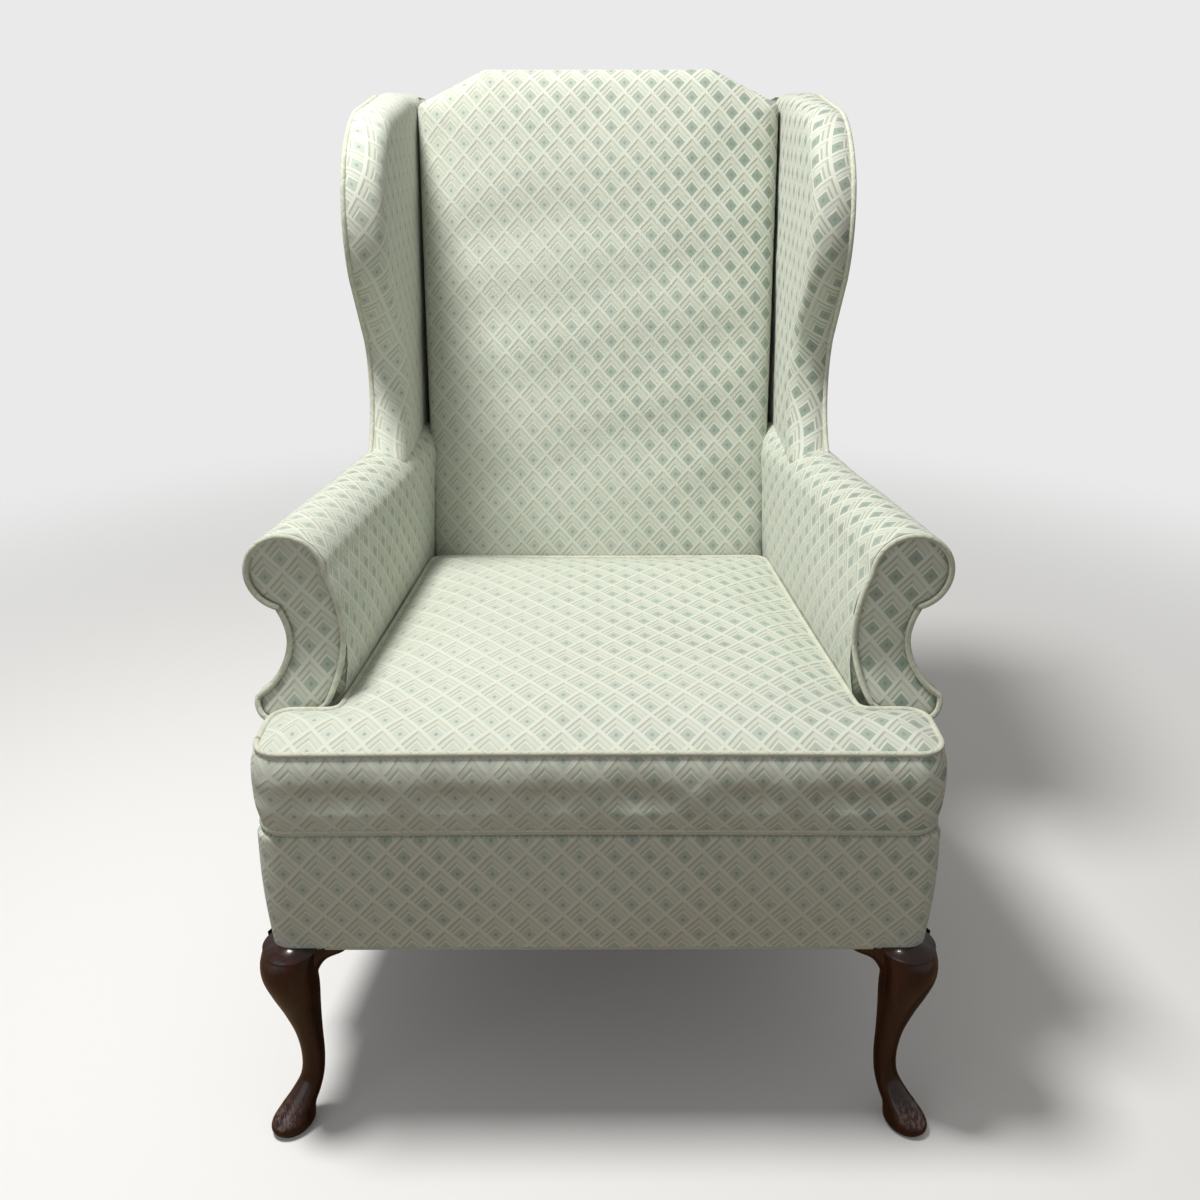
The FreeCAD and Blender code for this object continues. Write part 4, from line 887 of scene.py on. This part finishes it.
def wing_line(rear_out, low, inset=0.0):
    """Side view of a wing as (y, z)."""
    def edge(reach, rise):
        return SEAT_Y - 113.0 * reach + inset, between(SCROLL_Z, WING_TOP, rise)
    top = WING_TOP - inset
    start = (edge(0.8, 0.0)[0], low)
    steps = [
        (edge(0.8, 0.05),),
        (edge(0.39, 0.184), edge(0.41, 0.368)),
        (edge(0.885, 0.547),),
        (edge(1.0, 0.676), edge(0.823, 0.818)),
        ((472.0 + 0.7 * inset, top - 41.8), (556.9, top - 14.0)),
        ((675.0, top),),
        ((back_y(top, rear_out), top),),
        ((back_y(low, rear_out), low),),
    ]
    return trace(start, steps, (12, 24, 14, 24, 20, 16, 10, 60))


# Painted sheen of the arms and wings: arm lozenges darker towards the top and on the right arm; wing lozenges
# pale on the left wing, dark on the right.
arm_tone = {1.0: lambda v: np.clip(0.62 + (v[:, 2] - 0.6) * 1.5, 0, 1),
            -1.0: lambda v: np.clip(0.5 + (v[:, 2] - 0.6) * 1.5, 0, 1)}
wing_painted_sheen = {1.0: 0.75, -1.0: 0.3}
for hand, side in ((1.0, "right"), (-1.0, "left")):
    flip = np.array([hand, 1.0, 1.0])
    verts, layout = arm_surface("inside", 365.0, -34.0, 72)
    verts = verts + np.stack([ripple(verts[:, :, 1], verts[:, :, 2], 38.0, 0.8, hand), verts[:, :, 0] * 0,
                              ripple(verts[:, :, 1], verts[:, :, 0], 50.0, 0.5, hand)], -1)
    arm = grid("inside_arm_" + side, verts * flip, layout, slot="cover",
               nodes=("inside_arm_cover_" + side, "arm_pad_" + side), toward=(-hand * 0.6, 0.0, 1.0),
               tone=arm_tone[hand])

    verts, layout = arm_surface("outside", SKIRT, COVER_REAR, 60)
    turned = []
    for inward, y in ((17.0, 123.5), (4.0, 123.2), (1.2, 123.9)):
        column = verts[0].copy()
        column[:, 0] -= inward
        column[:, 1] = y
        turned.append(column)
    verts = np.concatenate([np.array(turned), verts[1:]])
    layout = np.concatenate([layout[:1] - np.array([19.0, 0]), layout[:1] - np.array([6.0, 0]),
                             layout[:1] - np.array([3.0, 0]), layout[1:]])
    arm = grid("outside_arm_" + side, verts * flip, layout, slot="cover",
               nodes=("outside_arm_cover_" + side,), toward=(hand, 0.0, 0.0), tone=0.5)
    cloth_sheet(arm)

    # Painted sheen on the arm front panels: paler lozenges on the left panel, darker on the right.
    front = panel(
        "arm_front_" + side, panel_line(1.0) * np.array([hand, 1.0]),
        smooth_line([0, 1.5, 4, 10, 22], [-5.5, -2.6, -0.6, 0.9, 1.8]),
        lambda x, z, out: np.stack([x, np.where(out < -11.0, 126.5, face_y(z) - out), z], -1), spacing=4.0,
        rings=(1.0, 2.4, 4.5, 7.5, 11.0), sides=((0.3, -8.0), (0.0, -12.0)),
        slot="cover", nodes=("arm_front_panel_" + side,), toward=(0.0, -1.0, 0.0),
        tone=0.45 if hand < 0 else 0.7)

    shape = np.vstack([arm_line(ARM_BODY, 366.0, "inside"), arm_line(ARM_BODY, 366.0, "outside")[1:]])
    back_of_panel = panel(
        "arm_front_return_" + side, shape * np.array([hand, 1.0]),
        smooth_line([0, 1.5, 4, 30], [-4.0, -1.4, 0, 0]),
        lambda x, z, out: np.stack([x, 124.4 - out, z], -1), spacing=8.0, rings=(0.8, 2.0, 4.0),
        slot="cover", toward=(0.0, -1.0, 0.0))
    cloth_sheet(back_of_panel)

    wing = panel(
        "wing_" + side, resample(wing_line(-94.0, 566.0), 4.5),
        smooth_line([0, 2, 6, 13, 24, 60], [0, 6.6, 12.0, 15.8, 17.6, 18.2]),
        lambda y, z, out, h=hand: np.stack([h * (258.6 - out - ripple(y, z, 34.0, 0.9, h)), y, z], -1),
        spacing=6.0, rings=(0.7, 2.1, 4.2, 7.2, 11.0, 16.0, 22.0),
        sides=((1.0, -5.0), (1.2, -11.0), (0.2, -17.0), (-2.2, -23.0), (-5.0, -27.0), (-7.5, -29.0)),
        push=(4.0, 1.0), slot="cover", nodes=("inside_wing_cover_" + side, "wing_pad_" + side),
        toward=(-hand, 0.0, 0.0), tone=wing_painted_sheen[hand])

    outer = panel(
        "outside_wing_" + side, resample(wing_line(COVER_REAR, 561.0, 7.0), 5.0),
        smooth_line([0, 2, 8], [-2.0, -0.4, 0.0]),
        lambda y, z, out, h=hand: np.stack([h * (WING_OUT + out), y, z], -1),
        spacing=9.0, rings=(2.0, 6.0), slot="cover",
        nodes=("outside_wing_cover_" + side,), toward=(hand, 0.0, 0.0), tone=0.5)
    cloth_sheet(outer)

# Piping
seam = panel_line(2.0)
seam = np.stack([seam[:, 0], face_y(seam[:, 1]) - 2.7, seam[:, 1]], -1)
tube("arm_front_piping", [(seam, True), (mirror(seam), True)], slot="piping", nodes=("arm_front_welts",))
edge = wing_line(COVER_REAR, 560.0, 4.0)
edge = edge[(edge[:, 1] > 600.0)]
edge = edge[:-1][np.concatenate([[True], np.diff(edge[:-1, 0]) > -40.0])]
stop = int(np.argmax(edge[:, 0]))
edge = edge[:stop]
edge = np.stack([np.full(len(edge), WING_OUT - WELT), edge[:, 0], edge[:, 1]], -1)
tube("wing_piping", [(edge, False), (mirror(edge), False)], slot="piping", nodes=("wing_welts",))
half, turn = 340.0, 19.0
bend = turn * ROUND
plan = trace((-half, 122.0), [((-half, 22.0),), ((-half + bend, 3.0 + bend), (-half + turn, 3.0)),
                              ((half - turn, 3.0),), ((half - bend, 3.0 + bend), (half, 22.0)),
                              ((half, 122.0),)], (20, 8, 120, 8, 20))
plan = np.stack([plan[:, 0], plan[:, 1], np.full(len(plan), BASE_WELT_Z)], -1)
base_rear = back_y(SKIRT, COVER_REAR) - 2.0
rear_x = between(FOOT_X, WING_OUT, (base_rear - ARM_BODY) / 548.0) - 3.0
sides = np.array([(353.8, 124.0, BASE_WELT_Z), (rear_x, base_rear, BASE_WELT_Z)])
behind = np.array([(-287.0, base_rear + 6.0, BASE_WELT_Z), (287.0, base_rear + 6.0, BASE_WELT_Z)])
tube("base_piping", [(plan, False), (sides, False), (mirror(sides), False), (behind, False)],
     slot="piping", nodes=("base_welt",))

# Front border: rows of points up the face along the U-shaped plan
bend = 6.44
plan = trace((-BORDER_HALF, 122.0),
             [((-BORDER_HALF, 22.0),), ((-BORDER_HALF + bend, bend), (-321.0, 0.0)), ((321.0, 0.0),),
              ((BORDER_HALF - bend, bend), (BORDER_HALF, 22.0)), ((BORDER_HALF, 122.0),)],
             (16, 10, 110, 10, 16))
along = np.gradient(plan, axis=0)
along /= np.linalg.norm(along, axis=1)[:, None]
outward = np.stack([along[:, 1], -along[:, 0]], -1)
rows = []
levels = list(np.linspace(SKIRT - 1.0, 374.0, 22)) + [377.0, 379.2, 380.0, 380.0]
inset = [0.0] * 22 + [0.6, 2.0, 5.0, 12.0]
for z, draw in zip(levels, inset):
    swell = 2.2 * math.sin(math.pi * min(1.0, (z - SKIRT + 1.0) / 132.0)) - draw
    bumps = ripple(plan[:, 0], np.full(len(plan), z), 60.0, 0.7, 1.3)
    ring = plan + outward * (swell + bumps * (draw == 0.0))[:, None]
    rows.append(np.stack([ring[:, 0], ring[:, 1], np.full(len(plan), z)], -1))
rows = np.array(rows)
layout = np.stack(np.broadcast_arrays(lengths(plan)[None, :] - 437.0, rows[:, :, 2]), -1)
border = grid("front_border_cover", rows, layout, slot="cover", nodes=("front_border",),
              toward=(0.0, -1.0, 0.0), tone=0.4)

# Outside back
top = back_up(WING_TOP, COVER_REAR) - 4.0
low = back_up(SKIRT, COVER_REAR - 3.0)
half_rear = [(287, low), (287, top), (239, top), (239, 606), (150, 650)]
corners = half_rear + [(-x, up) for x, up in half_rear[::-1]]
corners = corners[-1:] + corners[:-1]
rear = panel("outside_back", fillet(corners, [2, 2, 3, 2, 6, 12, 12, 6, 2, 3]),
             smooth_line([0, 2, 6], [0.0, 2.2, 3.0]),
             lambda a, u, out: back_point(a, u, COVER_REAR - out), spacing=14.0, rings=(1.5, 5.0),
             slot="cover", nodes=("outside_back_cover",), toward=(0.0, 1.0, 0.0), tone=0.5)
cloth_sheet(rear)

# Deck, burlap, webbing and dust cover
def deck_line(inset):
    rear = back_y(DECK, 0.0) - 1.0 - inset
    wide = 336.0 - inset
    step = 125.0
    def inner(y):
        return between(INSIDE_FRONT, INSIDE_REAR, (y - ARM_BODY) / (SEAT_Y - ARM_BODY)) - 1.0 - inset
    corners = [(-wide, 7.0 + inset), (wide, 7.0 + inset), (wide, step), (inner(step), step),
               (inner(rear), rear), (-inner(rear), rear), (-inner(step), step), (-wide, step)]
    return fillet(corners, [16, 16, 2, 2, 2, 2, 2, 2])


deck = panel("deck", deck_line(0.0), smooth_line([0, 3, 12, 80], [-4.0, -1.2, -0.4, 0.0]),
             lambda x, y, out: np.stack([x, y, DECK - 0.3 + out], -1), spacing=12.0, rings=(2.0, 6.0),
             sides=((0.0, -10.0), (0.0, -17.0)), slot="deck_cloth",
             nodes=("deck_cover", "deck_pad", "front_edge_roll"), toward=(0.0, 0.0, 1.0))
hessian = panel("burlap", deck_line(5.0), smooth_line([0, 10], [0.0, 0.0]),
                lambda x, y, out: np.stack([x, y, np.full(len(x), 362.0)], -1), spacing=24.0, rings=(),
                slot="burlap", nodes=("deck_burlap",), toward=(0.0, 0.0, 1.0))
cloth_sheet(hessian)
dust = [(-329, 14), (329, 14), (329, 64), (244, 550), (-244, 550), (-329, 64)]
dust = panel("dust_cover_cloth", fillet(dust, [6] * 6), smooth_line([0, 60], [0.0, 1.5]),
             lambda x, y, out: np.stack([x, y, 241.6 - out], -1), spacing=24.0, rings=(),
             slot="black_cloth", nodes=("dust_cover",), toward=(0.0, 0.0, -1.0))
cloth_sheet(dust)
verts, faces, layout = [], [], []
for k in range(6):
    upright = k < 3
    middle = (-120.0, 0.0, 120.0)[k % 3]
    first, last = (-54.0, 588.0) if upright else (-258.0, 258.0)
    level = (78.0, 271.0, 464.0)[k % 3]
    base = len(verts)
    steps = 66
    for i in range(steps + 1):
        run = between(first, last, i / steps)
        for s in (-24.0, 0.0, 24.0):
            across, up = (middle + s, run) if upright else (run, level + s)
            wave = math.cos(math.pi * (run - (78.0 if upright else 0.0)) / (193.0 if upright else 120.0))
            out = -61.3 + (0.5 if upright else -0.5) * wave * (-1.0) ** (k % 3)
            verts.append(back_point(across, up, out))
            layout.append((k * 60.0 + s, run))
    for i in range(steps):
        for s in range(2):
            a = base + i * 3 + s
            faces.append((a, a + 1, a + 4, a + 3))
straps = make("webbing_straps", np.array(verts).reshape(-1, 3), faces, np.array(layout), "burlap",
              nodes=("back_webbing",), toward=(0.0, -1.0, 0.0))

# Cushion
def cushion_outline(draw):
    back_face = back_y(CUSHION_TOP, 12.0) - 1.2
    half_front = between(INSIDE_FRONT, INSIDE_REAR, (90.0 - ARM_BODY) / (SEAT_Y - ARM_BODY)) - 1.2 - draw
    half_rear = between(INSIDE_FRONT, INSIDE_REAR, (back_face - ARM_BODY) / (SEAT_Y - ARM_BODY)) - 1.2 - draw
    ear, half, front = 94.0 - draw, 336.0 - draw, 1.0 + draw
    corners = [(-half, front), (half, front), (half, ear), (half_front, ear), (half_rear, back_face - draw),
               (-half_rear, back_face - draw), (-half_front, ear), (-half, ear)]
    return fillet(corners, [26, 26, 22, 13, 18, 18, 13, 22], [2.5, 0, 0, 1.5, 2.5, 1.5, 0, 0])


def stepped(value, low, high):
    t = np.clip((value - low) / (high - low), 0.0, 1.0)
    return t * t * (3.0 - 2.0 * t)


seam = resample(cushion_outline(3.0), 5.0)
count = len(seam)
crown, crown_faces = fill_outline(seam, 7.5, (2.0, 5.0, 9.0, 14.0, 20.0))
gap, _ = edge_distance(crown, seam)
order = nearest_points(crown, seam)
away = evened(edge_distance(seam, seam)[1], 3)


def leant(y, z):
    """The rear of the cushion leans with the back."""
    return y - (CUSHION_TOP - z) * math.tan(LEAN) * stepped(y, 380.0, 500.0)


rise = 19.0 * (1.0 - np.exp(-gap / 34.0))
rise += ripple(crown[:, 0], crown[:, 1], 55.0, 1.6, 0.4) * stepped(gap, 5.0, 40.0)
top_verts = np.stack([crown[:, 0], crown[:, 1], CUSHION_TOP + rise], -1)
opened = 1.0 - stepped(seam[:, 1], 96.0, 118.0)
box_rows = [(471.5, 1.0, 0.3), (466.0, 2.6, 2.0), (457.0, 3.0, 4.6), (447.0, 3.0, 6.2), (437.6, 3.0, 7.0),
            (437.4, 3.0, 7.0), (426.5, 3.0, 7.2), (415.6, 3.0, 7.0), (415.4, 3.0, 7.0), (406.0, 3.0, 6.2),
            (396.0, 3.0, 4.6), (387.3, 2.6, 2.0), (381.8, 1.0, 0.3), (CUSHION_UNDER, 0.0, 0.0)]
verts = [top_verts]
faces = [tuple(f) for f in crown_faces]
regions = [0] * len(faces)
previous = order
base = len(top_verts)
seam_run = lengths(np.vstack([seam, seam[:1]]))
for z, grown, swell in box_rows:
    bumps = ripple(seam_run[:-1], np.full(count, z), 30.0, 1.0, 2.1)
    bumps *= math.sin(math.pi * (z - DECK) / CUSHION_DEPTH)
    ring = seam + away * (grown + opened * (swell + bumps))[:, None]
    y = leant(ring[:, 1], z)
    notch = (np.abs(seam[:, 0]) < 208.0) & (seam[:, 1] > 480.0) & (abs(z - 426.5) < 11.0)
    y = y - notch * 10.0
    verts.append(np.stack([ring[:, 0], y, np.full(count, z)], -1))
    current = np.arange(base, base + count)
    join_rings(faces, previous, current)
    regions.extend([1] * count)
    previous = current
    base += count
under = np.ones(len(crown), bool)
under[order] = False
mapping = np.zeros(len(crown), int)
mapping[order] = previous
mapping[under] = base + np.arange(under.sum())
flat = crown[under]
verts.append(np.stack([flat[:, 0], leant(flat[:, 1], CUSHION_UNDER),
                       np.full(len(flat), CUSHION_UNDER)], -1))
for f in crown_faces:
    faces.append(tuple(int(mapping[k]) for k in reversed(f)))
    regions.append(2)
verts = np.vstack(verts)
top_uv = np.zeros((len(verts), 2))
top_uv[:len(crown)] = crown
box_uv = np.zeros((len(verts), 2))
drops = [3.0] + [abs(a[0] - b[0]) for a, b in zip(box_rows, box_rows[1:])]
heights = np.cumsum(drops)
box_uv[order] = np.stack([seam_run[:-1], np.full(count, CUSHION_DEPTH)], -1)
start = len(crown)
for height in heights:
    box_uv[start:start + count] = np.stack([seam_run[:-1], np.full(count, CUSHION_DEPTH - height)], -1)
    start += count
bottom_uv = verts[:, :2].copy()
# Painted sheen on the cushion: lozenges paler on the left, darker sage on the right.
cushion = make("cushion", verts, faces, [top_uv, box_uv, bottom_uv], "cover",
               nodes=("cushion_cover", "cushion_core"), body="cushion", regions=regions,
               tone=lambda v: np.clip(0.36 + v[:, 0] * 0.9, 0.0, 1.0))
front_face = (verts[:, 1] < 60.0) & (verts[:, 2] > 395.0) & (verts[:, 2] < 467.0)
free = (front_face | (verts[:, 2] > 474.6)) & (np.abs(verts[:, 2] - CUSHION_TOP) > 0.6)
settle(cushion, np.where(~free)[0], 0.07)
pipes = []
for z, grow, shown in ((473.6, 0.6, 0.0), (386.8, 0.8, 4.4)):
    ring = seam + away * (grow + opened * shown)[:, None]
    y = leant(ring[:, 1], z)
    pipes.append((np.stack([ring[:, 0], y, np.full(count, z)], -1), True))
tube("cushion_piping", pipes, body="cushion", slot="piping", nodes=("cushion_welts",))


# Front legs
def catmull(values, share):
    """A smooth curve through rows of values."""
    values = np.asarray(values, float)
    at = share * (len(values) - 1)
    i = int(min(max(math.floor(at), 0), len(values) - 2))
    t = at - i
    p0, p1 = values[max(i - 1, 0)], values[i]
    p2, p3 = values[i + 1], values[min(i + 2, len(values) - 1)]
    return 0.5 * (2 * p1 + (p2 - p0) * t + (2 * p0 - 5 * p1 + 4 * p2 - p3) * t * t
                  + (3 * p1 - p0 - 3 * p2 + p3) * t ** 3)


# Height, reach of the middle towards the corner, half length and half width of each section
LEG = [(0.0, 32.5, 20.0, 15.6), (7.0, 32.5, 25.0, 19.5), (15.0, 31.0, 25.0, 19.5), (26.0, 24.5, 21.0, 17.0),
       (40.0, 12.5, 17.0, 14.5), (58.0, 2.0, 13.0, 12.5), (84.0, -2.0, 12.5, 12.5), (118.0, -1.0, 14.5, 14.0),
       (152.0, 3.0, 19.6, 19.0), (182.0, 7.5, 25.5, 25.0), (206.0, 11.0, 29.0, 27.5),
       (224.0, 9.5, 30.5, 29.0), (238.0, 5.0, 29.5, 29.5)]
for hand, side in ((1.0, "right"), (-1.0, "left")):
    out = np.array([1.0, -1.0]) / math.sqrt(2)
    across = np.array([1.0, 1.0]) / math.sqrt(2)
    rows = []
    for share in np.linspace(0.0, 1.0, 97):
        z, reach, length, width = catmull(LEG, share)
        turn = 2 * math.pi * np.arange(LEG_SIDES) / LEG_SIDES
        ring = (np.array([318.0, 12.0]) + out * reach + out * length * np.cos(turn)[:, None]
                + across * width * np.sin(turn)[:, None])
        rows.append(np.stack([ring[:, 0] * hand, ring[:, 1], np.full(LEG_SIDES, z)], -1))
    rows = np.array(rows)
    rows[-1, :, 2] = 242.0
    verts = rows.reshape(-1, 3)
    faces = strips(len(rows), LEG_SIDES, True)
    faces.append(tuple(range(LEG_SIDES))[::-1])
    faces.append(tuple((len(rows) - 1) * LEG_SIDES + c for c in range(LEG_SIDES)))
    if hand < 0:
        faces = [f[::-1] for f in faces]
    make("cabriole_leg_" + side, verts, faces, None, "show_wood", nodes=("front_leg_" + side,))

# Knee brackets: a rounded return from the knee to nothing along each rail
drop = smooth_line([0.0, 0.15, 0.62, 0.86, 1.0], [0.6, 9.5, 19.0, 34.0, 54.0])
face = smooth_line([0.0, 0.5, 1.0], [3.6, 0.5, -9.0])
brackets = []
for share in np.linspace(0.0, 1.0, 30):
    along, height, near = 262.0 + 42.0 * share, float(drop(share)), float(face(share))
    turn = np.linspace(0.0, math.pi / 2, 12)
    depth = near + 13.0 * (1.0 - np.cos(turn))
    level = 242.0 - (height + 4.0) * np.sin(turn) ** 0.85
    row = [(along, d, z) for d, z in zip(depth, level)] + [(along, 26.0, 238.0 - height)]
    brackets.append(row)
brackets = np.array(brackets)
turned = np.stack([342.0 - brackets[:, :, 1], 330.0 - brackets[:, :, 0], brackets[:, :, 2]], -1)
verts, faces = [], []
for rows in (brackets, turned):
    for hand in (1.0, -1.0):
        base = len(verts)
        count, cols = rows.shape[:2]
        verts.extend([tuple(point) for point in (rows * np.array([hand, 1.0, 1.0])).reshape(-1, 3)])
        order = 1 if (hand > 0) == (rows is brackets) else -1
        for r in range(count - 1):
            for c in range(cols - 1):
                quad = (base + r * cols + c, base + (r + 1) * cols + c,
                        base + (r + 1) * cols + c + 1, base + r * cols + c + 1)
                faces.append(quad[::order])
        faces.append(tuple(base + (count - 1) * cols + c for c in range(cols)))
make("knee_brackets", np.array(verts), faces, None, "show_wood", nodes=("knee_blocks",))

# Light, floor, camera
world = bpy.data.worlds.new("studio")
scene.world = world
world.use_nodes = True
tree = world.node_tree
tree.nodes.clear()
paths = tree.nodes.new("ShaderNodeLightPath")
room = tree.nodes.new("ShaderNodeBackground")
room.inputs["Color"].default_value = (1.0, 0.98, 0.94, 1.0)
room.inputs["Strength"].default_value = 0.29
seen = tree.nodes.new("ShaderNodeBackground")
seen.inputs["Color"].default_value = rgb(234, 234, 234) + (1.0,)
choose = tree.nodes.new("ShaderNodeMixShader")
out = tree.nodes.new("ShaderNodeOutputWorld")
tree.links.new(paths.outputs["Is Camera Ray"], choose.inputs[0])
tree.links.new(room.outputs[0], choose.inputs[1])
tree.links.new(seen.outputs[0], choose.inputs[2])
tree.links.new(choose.outputs[0], out.inputs["Surface"])

g = Graph("floor_paper_painted_bounce")
eye = g.add("ShaderNodeLightPath").outputs["Is Camera Ray"]
# Painted shade by bounce: the floor is pale where the camera sees it, but brown to the light bouncing off it,
# which darkens and browns the chair's front faces.
color = g.mix(eye, rgb(120, 98, 74), rgb(244, 244, 244))
place = g.place()
span = g.add("ShaderNodeVectorMath", {"operation": "LENGTH"})
g.put(span.inputs[0], place)
far = g.ramp(span.outputs["Value"], 0.9, 2.6)
floor_material = g.finish(color, 0.9, fade=far, Specular_IOR_Level=0.1)
mesh = bpy.data.meshes.new("floor")
mesh.from_pydata([(-6.0, -6.0, 0.0), (6.0, -6.0, 0.0), (6.0, 6.0, 0.0), (-6.0, 6.0, 0.0)], [],
                 [(0, 1, 2, 3)])
floor = bpy.data.objects.new("floor", mesh)
floor.data.materials.append(floor_material)
scene.collection.objects.link(floor)


def area_lamp(name, size, energy, place, turns):
    """An area lamp, its turns in degrees."""
    lamp = bpy.data.lights.new(name, "AREA")
    lamp.size = size
    lamp.energy = energy
    holder = bpy.data.objects.new(name, lamp)
    holder.location = place
    holder.rotation_euler = [math.radians(turn) for turn in turns]
    scene.collection.objects.link(holder)
    return lamp


key = area_lamp("key", 0.5, 53.0, (-0.66, 0.16 + FRONT * 0.001, 2.6), (3.0, -17.0, 0.0))
key.shape = "DISK"
key.color = (1.0, 0.99, 0.965)
area_lamp("fill", 2.5, 9.0, (-1.9, -2.7, 1.3), (74.0, 0.0, -35.0))

lens = bpy.data.cameras.new("camera")
lens.sensor_width = 36.0
lens.lens = 33.56
lens.shift_y = 0.01744
camera = bpy.data.objects.new("camera", lens)
camera.location = (0.0, -0.9113 + FRONT * 0.001, 1.0379)
camera.rotation_euler = (math.radians(90.0 - 24.84), math.radians(0.03), math.radians(-0.08))
scene.collection.objects.link(camera)
scene.camera = camera
scene.view_settings.view_transform = "Standard"
